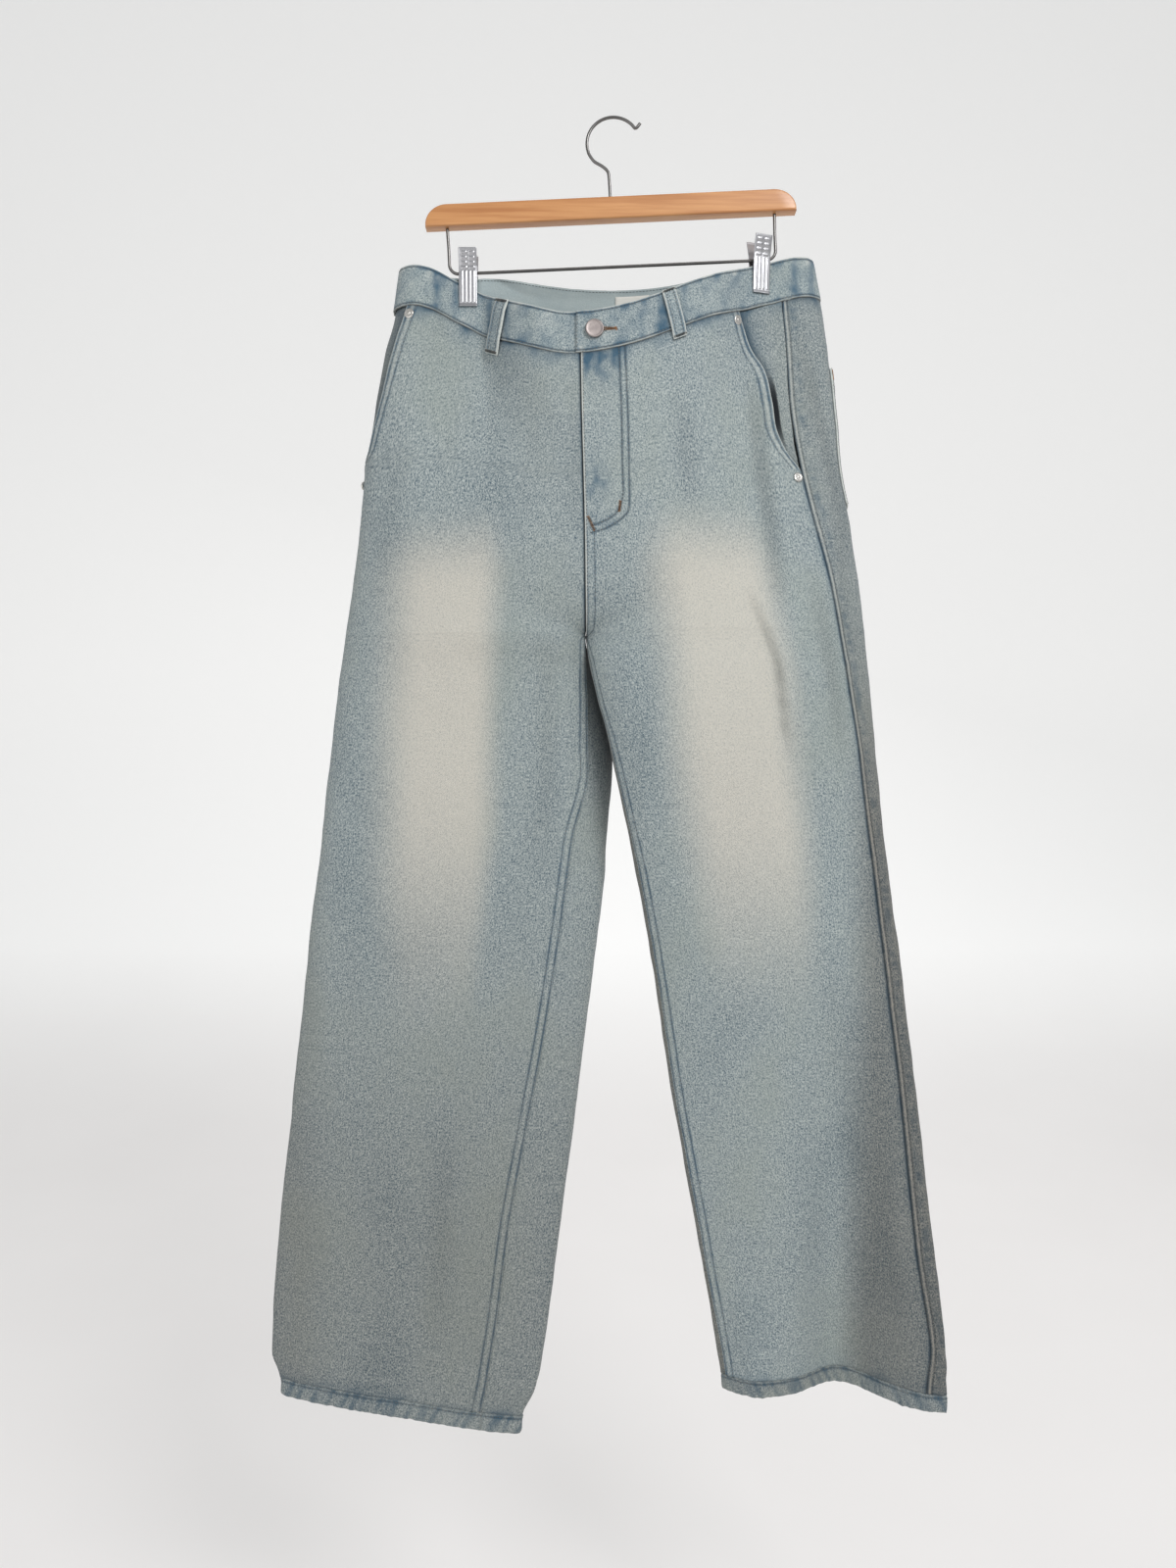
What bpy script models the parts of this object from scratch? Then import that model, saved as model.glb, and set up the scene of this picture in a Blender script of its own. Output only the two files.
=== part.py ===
"""Pale blue wide leg jeans hung by the waistband on a wooden clip hanger.

The origin is the inner top of the hanger's hook, where it rests on a nail. +X is to the
right seen from the front, +Z is up, and the front of the jeans faces -Y. Left and right
are those of someone who looks at the front. Tables are in millimetres.
"""

import math
from collections import namedtuple

import bmesh
import bpy
import numpy as np
from mathutils import Matrix, Vector

MM = 0.001

# Cloth walls and the gap that sewn pieces keep
CLOTH = 1.2
SEAM_GAP = 0.3
BAND_GAP = 0.5
LAYER_GAP = 0.5
BAND_WALL = 2.4
BAND_PROUD = 0.8
HEM_WALL = 2.4
HEM_PROUD = 0.5

# Heights, measured down from the hook at the middle of the garment
WAIST_LEVEL = -137.0
BAND_HEIGHT = 40.5
PANEL_TOP = WAIST_LEVEL - BAND_HEIGHT - BAND_GAP
CROTCH_LEVEL = -498.0
CROTCH_CURVE = 80.0
CROTCH_REACH = 0.5
CROTCH_SOFTNESS = 1.2
HIP_BLEND = 150.0
HALF_SEAM = 0.2
LEGS_PART = -560.0
HEM_HEIGHT = 16.0
HEM_LEVEL = {"left": -1240.0, "right": -1225.0}
HEM_TILT = {"left": -0.075, "right": 0.035}
HEM_TILT_START = -800.0
HEM_TILT_FULL = -1200.0

# The waist line slopes up to the right and dips between the two clips
WAIST_SLOPE = 0.045
LEVEL_SLOPE_END = -400.0
FRONT_DIP = 64.0
FRONT_DIP_CENTRE = -35.0
FRONT_DIP_REACH = {"left": 165.0, "right": 238.0}
BACK_DIP = 18.0
BACK_DIP_CENTRE = 14.0
BACK_DIP_REACH = 180.0
DIP_FADE_TOP = -178.0
DIP_FADE_END = -430.0

# The clips pinch both layers together
CLIP_X = {"left": -139.5, "right": 140.5}
CLIP_TURN = {"left": 0.0, "right": math.radians(18.0)}
PINCH_WIDTH = 42.0
PINCH_PEAK = 1.1
PINCH_FLAT = 48.0
PINCH_FADE = 170.0
PINCH_SPREAD = 0.25
PINCH_HALF_GAP = 1.8
PINCH_OPENS = 1.8
PINCH_OPENS_LEVEL = -166.0
PINCH_OPENS_REACH = 14.0
PINCH_COLUMN = 10.5
CLIP_DIP = 10.0
CLIP_DIP_WIDTH = 34.0

# Roundness of the sections, 1 for an ellipse and less for a boxier one
ROUNDNESS = 0.87

HipRow = namedtuple(
    "HipRow",
    "level left_x left_y right_x right_y front_bow back_bow front_x back_x left_side right_side",
)
HIP_ROWS = (
    HipRow(-137, -206.0, 5, 196.0, 25, 45, 26, -31.0, 27, -6, 36),
    HipRow(-178, -212.0, 6, 203.0, 22, 50, 27, -31.0, 26, -6, 41),
    HipRow(-220, -223.0, 8, 208.0, 18, 54, 28, -30.5, 23, -6, 42),
    HipRow(-279, -233.0, 9, 214.0, 12, 57, 29, -29.5, 16, -6, 44),
    HipRow(-336, -239.5, 9, 219.5, 6, 58, 30, -28.5, 6, -6, 42),
    HipRow(-393, -245.0, 9, 228.0, 0, 58, 30, -27.5, -6, -6, 39),
    HipRow(-450, -252.0, 9, 234.5, -6, 56, 31, -26.8, -18, -6, 33),
    HipRow(-498, -258.5, 9, 238.5, -10, 52, 31, -26.4, -26.4, -6, 29),
)

LegRow = namedtuple(
    "LegRow", "level inner_x inner_y outer_x outer_y front_bow back_bow inseam side"
)
LEG_ROWS = {
    "left": (
        LegRow(-498, -26.4, 0, -258.5, 9, 52, 31, 0, -6),
        LegRow(-527, -19.5, 16, -262.5, 9, 50, 30, 7, -6),
        LegRow(-565, -7.0, 24, -267.5, 9, 47, 28, 18, -6),
        LegRow(-603, -0.5, 27, -272.0, 9, 44, 26, 24, -6),
        LegRow(-630, -1.0, 26, -275.5, 9, 42, 25, 23, -6),
        LegRow(-688, -6.0, 25, -282.0, 10, 38, 22, 32, -6),
        LegRow(-733, -8.5, 24, -287.5, 10, 35, 20, 36, -6),
        LegRow(-783, -14.0, 18, -293.6, 10, 32, 18, 37, -6),
        LegRow(-878, -27.0, 8, -304.0, 10, 26, 15, 39, -6),
        LegRow(-973, -40.0, 0, -313.0, 10, 21, 13, 44, -6),
        LegRow(-1068, -53.0, -10, -323.0, 10, 16, 12, 48, -6),
        LegRow(-1163, -66.0, -18, -329.8, 10, 12, 11, 48, -6),
        LegRow(-1200, -74.0, -22, -331.0, 10, 11, 10, 46, -6),
        LegRow(-1222, -84.5, -26, -323.5, 10, 10, 10, 40, -6),
        LegRow(-1242, -88.0, -28, -322.0, 10, 10, 10, 39, -6),
    ),
    "right": (
        LegRow(-498, -26.4, 0, 238.5, -10, 52, 31, 0, 29),
        LegRow(-527, -22.6, -14, 241.0, -11, 50, 30, 1, 27),
        LegRow(-565, -14.3, -20, 244.0, -13, 46, 28, 1, 25),
        LegRow(-603, -5.0, -22, 247.5, -15, 42, 27, 2, 22),
        LegRow(-667, 9.3, -20, 252.5, -18, 34, 25, 2, 18),
        LegRow(-733, 22.9, -15, 260.0, -22, 29, 22, 3, 17),
        LegRow(-827, 39.2, -8, 271.0, -28, 23, 18, 3, 17),
        LegRow(-923, 53.8, 0, 281.5, -34, 17, 15, 3, 16),
        LegRow(-1075, 81.8, 8, 296.0, -42, 12, 11, 3, 16),
        LegRow(-1163, 97.0, 12, 306.5, -44, 9, 9, 4, 14),
        LegRow(-1200, 103.5, 13, 308.0, -44, 8, 8, 4, 18),
        LegRow(-1235, 108.0, 15, 308.0, -43, 8, 8, 4, 19),
    ),
}

# Large folds. Across runs from 0 at the inner edge of a leg to 1 at its outer edge, and a
# positive depth is a trough, pushed back. A fold grows from its top level to its full level.
Fold = namedtuple("Fold", "side walls top full end across_top across_end width depth")
FOLDS = (
    Fold("right", "front back", -760, -1215, -1400, 0.80, 0.56, 0.20, 46),
    Fold("right", "front back", -1080, -1200, -1400, 0.14, 0.14, 0.10, -7),
    Fold("right", "front", -190, -300, -560, 0.86, 0.80, 0.06, 6),
    Fold("right", "front", -420, -560, -640, 0.62, 0.74, 0.06, -5),
    Fold("right", "back", -200, -420, -620, 0.90, 0.93, 0.06, -6),
    Fold("right", "front", -600, -700, -980, 0.84, 0.86, 0.10, 7),
    Fold("left", "front", -560, -700, -1000, 0.26, 0.20, 0.09, 6),
    Fold("left", "front", -820, -1080, -1300, 0.40, 0.45, 0.14, 5),
    Fold("left", "back", -640, -900, -1200, 0.35, 0.45, 0.16, -6),
    Fold("right", "back", -560, -720, -1000, 0.40, 0.35, 0.16, -6),
)

# Pocket edges, from the waistband down to the side seam
EdgePoint = namedtuple("EdgePoint", "level x")
POCKET_EDGE = {
    "left": (
        EdgePoint(-178, -196.0),
        EdgePoint(-216, -208.0),
        EdgePoint(-258, -219.5),
        EdgePoint(-296, -229.0),
        EdgePoint(-322, -234.5),
    ),
    "right": (
        EdgePoint(-178, 119.0),
        EdgePoint(-216, 131.0),
        EdgePoint(-240, 143.5),
        EdgePoint(-276, 150.0),
        EdgePoint(-302, 153.5),
        EdgePoint(-324, 163.0),
    ),
}
POCKET_END = {"left": -342.0, "right": -342.0}
POCKET_GAPE = {"left": 0.0, "right": 3.5}
GAPE_LEVEL = -284.0
GAPE_REACH = 42.0
FACING_FLUSH = 14.0

# How finely the walls are cut
FRONT_COLUMNS = 13
BACK_COLUMNS = 13
FACING_COLUMNS = 3
HIP_LEVELS = (-196, -216, -236, -256, -276, -296, -312, -326, -342, -366, -392, -416, -440,
              -462, -480, -491)
LEG_STEPS = (0.0, 0.018, 0.042, 0.072, 0.11, 0.15, 0.2, 0.26, 0.33, 0.41, 0.5, 0.59, 0.68,
             0.77, 0.85, 0.92, 0.97, 1.0)

# Sewn on pieces
LOOP_WIDTH = 12.0
LOOP_WALL = 1.5
LOOP_SEAT = 0.4
LOOP_STANDS = 2.3
LOOP_LEAVES = 3.0
LoopPlace = namedtuple("LoopPlace", "name side wall x drop")
LOOP_PLACES = (
    LoopPlace("front_left", "left", "front", -110.0, 16.0),
    LoopPlace("front_right", "right", "front", 56.0, 11.0),
    LoopPlace("side_left", "left", "back", -160.0, 12.0),
    LoopPlace("side_right", "right", "back", 183.0, 12.0),
    LoopPlace("centre_back", "right", "back", 34.0, 12.0),
)
BUTTON_RADIUS = 8.6
BUTTON_HEIGHT = 3.4
BUTTON_PLACE = (-18.5, 20.0)
RIVET_RADIUS = 4.8
RIVET_HEIGHT = 1.8
RIVET_SEAT = 0.7
RivetPlace = namedtuple("RivetPlace", "name side row column")
RIVET_PLACES = (
    RivetPlace("left_top", "left", 0.45, 12.35),
    RivetPlace("left_low", "left", 9.3, 12.0),
    RivetPlace("right_top", "right", 0.45, 12.6),
    RivetPlace("right_low", "right", 9.3, 12.5),
)
UNDERLAP = 44.0
OVERLAP = 4.5
SINK_START = 45.0
SINK_REACH = 38.0
BACK_POCKET_ROWS = (3, 10)
BACK_POCKET_COLUMNS = (3, 10)
LABEL_WIDTH = 33.0
LABEL_HEIGHT = 26.0
LABEL_BELOW_EDGE = 6.0
LABEL_WALL = 0.6

# Hanger
HANGER_TILT = math.radians(2.6)
BAR_CENTRE = (-3.0, 0.0, -88.0)
BAR_LENGTH = 356.0
BAR_HEIGHT = 21.0
BAR_DEPTH = 14.0
BAR_EDGE = 1.6
BAR_SHOULDER = 21.0
BAR_FOOT = 2.0
WIRE_RADIUS = 1.5
HOOK_RADIUS = 25.5
HOOK_CENTRE = (0.0, -24.0)
HOOK_START_ANGLE = math.radians(205.0)
HOOK_END_ANGLE = math.radians(36.0)
NECK_POINTS = ((-3.6, -66.0), (-4.5, -54.0), (-6.1, -49.8), (-11.0, -45.5), (-18.5, -41.0))
TIP_STEPS = ((2.4, 1.2), (5.0, 4.6))
FRAME_HALF_WIDTH = 157.0
FRAME_DROP = 54.7
FRAME_CORNER = 9.0
CLIP_WIDTH = 17.5
CLIP_TOP = 21.0
CLIP_BOTTOM = -33.0
CLIP_SHEET = 1.1
CLIP_PIVOT = 4.9
BARREL_RADIUS = 3.2
BARREL_BORE = 1.9
BARREL_LENGTH = 8.0

# Colours, roughness and metallic values
FINISHES = {
    "denim": ((0.33, 0.39, 0.42, 1.0), 0.92, 0.0),
    "denim_band": ((0.30, 0.37, 0.41, 1.0), 0.92, 0.0),
    "label": ((0.80, 0.79, 0.76, 1.0), 0.85, 0.0),
    "pewter": ((0.38, 0.36, 0.35, 1.0), 0.42, 1.0),
    "wood": ((0.62, 0.36, 0.16, 1.0), 0.38, 0.0),
    "steel": ((0.62, 0.62, 0.62, 1.0), 0.22, 1.0),
}


def clear_scene():
    """Remove what a new file holds."""
    for item in list(bpy.data.objects):
        bpy.data.objects.remove(item, do_unlink=True)


def smooth(value):
    """Ease from 0 to 1 as value goes from 0 to 1."""
    clipped = np.clip(value, 0.0, 1.0)
    return clipped * clipped * (3.0 - 2.0 * clipped)


def curve_through(rows, name, level):
    """Read one column of a table at a level, on a smooth curve through its rows."""
    levels = -np.array([row.level for row in rows], dtype=float)
    values = np.array([getattr(row, name) for row in rows], dtype=float)
    steps = np.diff(values) / np.diff(levels)
    slopes = np.empty(len(rows))
    slopes[0] = 0.0 if name.startswith("inner") else steps[0]
    slopes[-1] = steps[-1]
    same_way = steps[:-1] * steps[1:] > 0.0
    slopes[1:-1] = np.where(same_way, (steps[:-1] + steps[1:]) / 2.0, 0.0)
    place = float(np.clip(-level, levels[0], levels[-1]))
    index = int(np.clip(np.searchsorted(levels, place) - 1, 0, len(rows) - 2))
    width = levels[index + 1] - levels[index]
    part = (place - levels[index]) / width
    square = part * part
    cube = square * part
    return float(
        (2 * cube - 3 * square + 1) * values[index]
        + (cube - 2 * square + part) * width * slopes[index]
        + (3 * square - 2 * cube) * values[index + 1]
        + (cube - square) * width * slopes[index + 1]
    )


def rounded(angle):
    """Return the cosine and sine of an angle, on the rounded box of the sections."""
    cosine = np.cos(angle)
    sine = np.sin(angle)
    return (
        np.sign(cosine) * np.abs(cosine) ** ROUNDNESS,
        np.abs(sine) ** ROUNDNESS,
    )


def pinch(level, x, y, front):
    """Draw a wall's y to the nearer clip, which holds both layers together."""
    below = np.maximum(WAIST_LEVEL - level - PINCH_FLAT, 0.0)
    strength = math.exp(-((below / PINCH_FADE) ** 2))
    opened = PINCH_OPENS * float(smooth((PINCH_OPENS_LEVEL - level) / PINCH_OPENS_REACH))
    for name, clip_x in CLIP_X.items():
        width = PINCH_WIDTH + PINCH_SPREAD * below
        near = PINCH_PEAK * np.exp(-(((x - clip_x) / width) ** 2))
        share = strength * np.minimum(near, 1.0)
        half_gap = (PINCH_HALF_GAP + opened) / math.cos(CLIP_TURN[name])
        held = math.tan(CLIP_TURN[name]) * (x - clip_x)
        held = held + np.where(front, -half_gap, half_gap)
        y = y + share * (held - y)
    return y


def fold_depth(side, level, across, front):
    """Sum the large folds at a place on a wall."""
    depth = np.zeros_like(across)
    for fold in FOLDS:
        if fold.side != side:
            continue
        grown = float(smooth((fold.top - level) / (fold.top - fold.full)))
        gone = float(smooth((fold.full - level) / (fold.full - fold.end)))
        amount = grown * (1.0 - gone)
        if amount <= 0.0:
            continue
        lowest = max(fold.end, HEM_LEVEL["left"])
        down = np.clip((fold.top - level) / (fold.top - lowest), 0.0, 1.0)
        centre = fold.across_top + (fold.across_end - fold.across_top) * down
        wave = fold.depth * amount * np.exp(-(((across - centre) / fold.width) ** 2))
        on_front = "front" in fold.walls
        on_back = "back" in fold.walls
        depth = depth + wave * np.where(front, on_front, on_back)
    return depth


def hip_share(level, u):
    """Return how far a place has turned from the leg's section to the hip's.

    It follows a quarter circle at the crotch seam, and away from the seam it starts
    softly a little below the crotch.
    """
    away = smooth(u / CROTCH_REACH)
    risen = (level - CROTCH_LEVEL) / (CROTCH_CURVE + (HIP_BLEND - CROTCH_CURVE) * away)
    soft = np.maximum(CROTCH_SOFTNESS * u, 1e-6)
    near = (risen + soft) ** 2 / (4.0 * soft)
    risen = np.where(np.abs(risen) < soft, near, np.maximum(risen, 0.0))
    turned_part = 1.0 - (1.0 - np.minimum(risen, 1.0)) ** 2
    return turned_part ** (0.5 + 0.5 * away)


def section(side, level, v):
    """Return x and y of one half's section; v is 0 at the inner edge of the front.

    v reaches 1 at the outer fold and 2 at the inner edge of the back. Above the crotch
    the inner edges are the centre seams, and below it both are the leg's inner fold.
    """
    v = np.asarray(v, dtype=float)
    front = v <= 1.0
    u = np.where(front, v, 2.0 - v)
    sign = -1.0 if side == "left" else 1.0
    rows = LEG_ROWS[side]
    leg_level = min(level, CROTCH_LEVEL)
    inner_x = curve_through(rows, "inner_x", leg_level)
    inner_y = curve_through(rows, "inner_y", leg_level)
    met = float(smooth((level - LEGS_PART) / (CROTCH_LEVEL - LEGS_PART)))
    inner_x = inner_x + sign * HALF_SEAM * met
    front_bow = curve_through(rows, "front_bow", leg_level)
    back_bow = curve_through(rows, "back_bow", leg_level)
    if level > CROTCH_LEVEL:
        outer_x = curve_through(HIP_ROWS, side + "_x", level)
        outer_y = curve_through(HIP_ROWS, side + "_y", level)
    else:
        outer_x = curve_through(rows, "outer_x", level)
        outer_y = curve_through(rows, "outer_y", level)
    along, out = rounded(math.pi * (1.0 - u))
    half_x = (outer_x - inner_x) / 2.0
    half_y = (outer_y - inner_y) / 2.0
    bow = np.where(front, -front_bow, back_bow)
    x = inner_x + half_x * (1.0 + along)
    y = inner_y + half_y * (1.0 + along) + bow * out
    if level > CROTCH_LEVEL - CROTCH_SOFTNESS * HIP_BLEND:
        share = hip_share(level, u)
        front_x = curve_through(HIP_ROWS, "front_x", level)
        back_x = curve_through(HIP_ROWS, "back_x", level)
        seam_x = np.where(front, front_x, back_x) + sign * HALF_SEAM
        hip_front = curve_through(HIP_ROWS, "front_bow", level)
        hip_back = curve_through(HIP_ROWS, "back_bow", level)
        hip_bow = np.where(front, -hip_front, hip_back)
        along, out = rounded(math.pi / 2.0 * (1.0 - u))
        hip_x = seam_x + (outer_x - seam_x) * along
        hip_y = outer_y * along * along + hip_bow * out
        x = x + share * (hip_x - x)
        y = y + share * (hip_y - y)
    y = pinch(level, x, y, front)
    across = np.clip((x - inner_x) / (outer_x - inner_x), 0.0, 1.0)
    y = y + fold_depth(side, level, across, front)
    return x, y


def height(side, level, x, front):
    """Return the z of a section's points: its level, sloped and dipped at the waist."""
    slope = WAIST_SLOPE * float(smooth((level - LEVEL_SLOPE_END) / (WAIST_LEVEL - LEVEL_SLOPE_END)))
    z = level + slope * x
    fade = float(smooth((level - DIP_FADE_END) / (DIP_FADE_TOP - DIP_FADE_END)))
    reach = np.where(x < FRONT_DIP_CENTRE, FRONT_DIP_REACH["left"], FRONT_DIP_REACH["right"])
    front_turn = np.clip((x - FRONT_DIP_CENTRE) / reach, -1.0, 1.0)
    back_turn = np.clip((x - BACK_DIP_CENTRE) / BACK_DIP_REACH, -1.0, 1.0)
    front_dip = FRONT_DIP * np.cos(math.pi / 2.0 * front_turn) ** 2
    back_dip = BACK_DIP * np.cos(math.pi / 2.0 * back_turn) ** 2
    for clip_x in CLIP_X.values():
        back_dip = back_dip + CLIP_DIP * np.exp(-(((x - clip_x) / CLIP_DIP_WIDTH) ** 2))
    z = z - fade * np.where(front, front_dip, back_dip)
    tilt = float(smooth((HEM_TILT_START - level) / (HEM_TILT_START - HEM_TILT_FULL)))
    middle = (curve_through(LEG_ROWS[side], "inner_x", level)
              + curve_through(LEG_ROWS[side], "outer_x", level)) / 2.0
    return z + tilt * HEM_TILT[side] * (x - middle)


def surface(side, level, v, offset=0.0):
    """Return points of a half's outer surface at v, moved out by an offset."""
    v = np.asarray(v, dtype=float)
    x, y = section(side, level, v)
    step = 0.004
    before = np.clip(v - step, 0.0, 2.0)
    after = np.clip(v + step, 0.0, 2.0)
    if level <= CROTCH_LEVEL:
        before = np.mod(v - step, 2.0)
        after = np.mod(v + step, 2.0)
    x_before, y_before = section(side, level, before)
    x_after, y_after = section(side, level, after)
    run = np.stack([x_after - x_before, y_after - y_before], axis=-1)
    run = run / np.linalg.norm(run, axis=-1, keepdims=True)
    sign = -1.0 if side == "left" else 1.0
    out = np.stack([run[..., 1], -run[..., 0]], axis=-1) * sign
    front = v <= 1.0
    z = height(side, level, x, front)
    return np.stack([x + out[..., 0] * offset, y + out[..., 1] * offset, z], axis=-1)


def place_of_x(side, level, x, wall):
    """Find v where a wall has this x; wall is front or back."""
    v = np.linspace(0.0, 1.0, 401) if wall == "front" else np.linspace(1.0, 2.0, 401)
    xs, _ = section(side, level, v)
    sign = -1.0 if side == "left" else 1.0
    order = sign * xs
    if wall == "back":
        return float(np.interp(sign * x, order[::-1], v[::-1]))
    return float(np.interp(sign * x, order, v))


def side_place(side, level):
    """Return v of the side seam."""
    if level > CROTCH_LEVEL:
        inset = curve_through(HIP_ROWS, side + "_side", level)
        outer = curve_through(HIP_ROWS, side + "_x", level)
    else:
        inset = curve_through(LEG_ROWS[side], "side", level)
        outer = curve_through(LEG_ROWS[side], "outer_x", level)
    sign = -1.0 if side == "left" else 1.0
    wall = "front" if inset >= 0.0 else "back"
    return place_of_x(side, level, outer - sign * abs(inset), wall)


def pocket_place(side, level):
    """Return v of the front panel's outer edge: the pocket's edge, or the side seam."""
    seam = side_place(side, level)
    if level <= POCKET_END[side]:
        return seam
    rows = POCKET_EDGE[side]
    last = rows[-1]
    if level >= last.level:
        return place_of_x(side, level, curve_through(rows, "x", level), "front")
    start = place_of_x(side, level, last.x, "front")
    part = (last.level - level) / (last.level - POCKET_END[side])
    return start + (seam - start) * part


def inseam_place(side, level):
    """Return v of the inseam, which lies on the front wall below the crotch."""
    if level >= CROTCH_LEVEL:
        return 0.0
    inset = curve_through(LEG_ROWS[side], "inseam", level)
    inner = curve_through(LEG_ROWS[side], "inner_x", level)
    sign = -1.0 if side == "left" else 1.0
    return place_of_x(side, level, inner + sign * inset, "front")


def levels_of(side):
    """List the levels of a panel's rows, from the waistband to the hem."""
    bottom = HEM_LEVEL[side] + HEM_HEIGHT + SEAM_GAP
    legs = [CROTCH_LEVEL + (bottom - CROTCH_LEVEL) * step for step in LEG_STEPS]
    return [PANEL_TOP] + list(HIP_LEVELS) + legs


def wrapped(v):
    """Bring v into 0 to 2, for the leg's closed section."""
    return np.mod(v, 2.0)


def column_parts(side, wall, edges, columns):
    """Share out a patch's columns, with one on each side of the clip that holds it."""
    start, end = edges(PANEL_TOP)
    wanted = {0: 0.0, columns: 1.0}
    for way in (-1.0, 1.0):
        place = place_of_x(side, PANEL_TOP, CLIP_X[side] + way * PINCH_COLUMN, wall)
        part = (place - start) / (end - start)
        if 0.04 < part < 0.96:
            index = int(np.clip(round(part * columns), 1, columns - 1))
            if index in wanted:
                index = index + 1 if part > wanted[index] else index - 1
            wanted[index] = part
    known = sorted(wanted)
    return np.interp(np.arange(columns + 1), known, [wanted[index] for index in known])


def grid_of(side, levels, edges, parts, offset, bulge=None):
    """Return the points of a patch: a row for each level, a column for each part."""
    rows = []
    for level in levels:
        start, end = edges(level)
        v = start + (end - start) * parts
        if level <= CROTCH_LEVEL:
            v = wrapped(v)
        moved = offset if bulge is None else offset + bulge(level, parts)
        rows.append(surface(side, level, v, moved))
    return np.array(rows)


def trimmed(side, level, v, way):
    """Move v by half a seam gap along the section."""
    x0, y0 = section(side, level, [np.clip(v, 0.0, 2.0)])
    near = np.clip(v + way * 0.002, 0.0, 2.0)
    x1, y1 = section(side, level, [near])
    speed = max(math.hypot(x1[0] - x0[0], y1[0] - y0[0]) / 0.002, 1.0)
    return v + way * SEAM_GAP / 2.0 / speed


def front_edges(side):
    """Return the function that gives a front panel's two edges at a level."""
    def edges(level):
        start = trimmed(side, level, inseam_place(side, level), 1.0)
        end = trimmed(side, level, pocket_place(side, level), -1.0)
        return start, end
    return edges


def back_edges(side):
    """Return the function that gives a back panel's two edges at a level."""
    def edges(level):
        start = trimmed(side, level, side_place(side, level), 1.0)
        end = 2.0 + inseam_place(side, level)
        speed_place = 2.0 if end <= 2.0 else end - 2.0
        trim = abs(trimmed(side, level, min(speed_place, 1.998), -1.0) - min(speed_place, 1.998))
        return start, end - trim
    return edges


def open_edges(side):
    """Return the function that gives a pocket facing's two open edges at a level."""
    def edges(level):
        end = trimmed(side, level, side_place(side, level), -1.0)
        return front_edges(side)(level)[1], end
    return edges


def gape(side):
    """Return the bulge of a front panel at its pocket's edge."""
    def bulge(level, part):
        amount = POCKET_GAPE[side] * math.exp(-(((level - GAPE_LEVEL) / GAPE_REACH) ** 2))
        return amount * smooth((part - 0.72) / 0.28)
    return bulge


def finish(name):
    """Return the material of that name, made on first use."""
    material = bpy.data.materials.get(name)
    if material is None:
        colour, roughness, metallic = FINISHES[name]
        material = bpy.data.materials.new(name)
        material.use_nodes = True
        shader = material.node_tree.nodes["Principled BSDF"]
        shader.inputs["Base Color"].default_value = colour
        shader.inputs["Roughness"].default_value = roughness
        shader.inputs["Metallic"].default_value = metallic
    return material


def add_object(name, mesh, material, collection):
    """Put a mesh in the scene as one named piece."""
    item = bpy.data.objects.new(name, mesh)
    if not mesh.materials:
        mesh.materials.append(finish(material))
    collection.objects.link(item)
    return item


def wall_mesh(name, outer, inner, closed=False):
    """Loft a closed wall between an outer and an inner grid of points in millimetres."""
    rows, columns = outer.shape[:2]
    points = np.concatenate([outer.reshape(-1, 3), inner.reshape(-1, 3)]) * MM
    count = rows * columns

    def outside(row, column):
        return row * columns + column % columns

    def inside(row, column):
        return count + outside(row, column)

    faces = []
    spans = columns if closed else columns - 1
    for row in range(rows - 1):
        for column in range(spans):
            faces.append((outside(row, column), outside(row + 1, column),
                          outside(row + 1, column + 1), outside(row, column + 1)))
            faces.append((inside(row, column), inside(row, column + 1),
                          inside(row + 1, column + 1), inside(row + 1, column)))
    for column in range(spans):
        faces.append((outside(0, column + 1), inside(0, column + 1), inside(0, column),
                      outside(0, column)))
        faces.append((outside(rows - 1, column), inside(rows - 1, column),
                      inside(rows - 1, column + 1), outside(rows - 1, column + 1)))
    if not closed:
        for row in range(rows - 1):
            faces.append((outside(row, 0), inside(row, 0), inside(row + 1, 0),
                          outside(row + 1, 0)))
            faces.append((outside(row + 1, columns - 1), inside(row + 1, columns - 1),
                          inside(row, columns - 1), outside(row, columns - 1)))
    mesh = bpy.data.meshes.new(name)
    mesh.from_pydata([tuple(point) for point in points], [], faces)
    shape = bmesh.new()
    shape.from_mesh(mesh)
    bmesh.ops.recalc_face_normals(shape, faces=shape.faces)
    if shape.calc_volume(signed=True) < 0.0:
        bmesh.ops.reverse_faces(shape, faces=shape.faces)
    shape.to_mesh(mesh)
    shape.free()
    mesh.shade_smooth()
    mesh.set_sharp_from_angle(angle=math.radians(50.0))
    return mesh


def make_front(side, collection):
    """Make a front panel, cut away along its pocket's edge."""
    levels = levels_of(side)
    edges = front_edges(side)
    parts = column_parts(side, "front", edges, FRONT_COLUMNS)
    outer = grid_of(side, levels, edges, parts, 0.0, gape(side))
    inner = grid_of(side, levels, edges, parts, -CLOTH, gape(side))
    add_object("front_" + side, wall_mesh("front_" + side, outer, inner), "denim", collection)
    return outer


def make_back(side, collection):
    """Make a back panel, from the side seam round to the centre back and inseam."""
    levels = levels_of(side)
    edges = back_edges(side)
    parts = column_parts(side, "back", edges, BACK_COLUMNS)
    outer = grid_of(side, levels, edges, parts, 0.0)
    inner = grid_of(side, levels, edges, parts, -CLOTH)
    add_object("back_" + side, wall_mesh("back_" + side, outer, inner), "denim", collection)
    return outer


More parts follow.
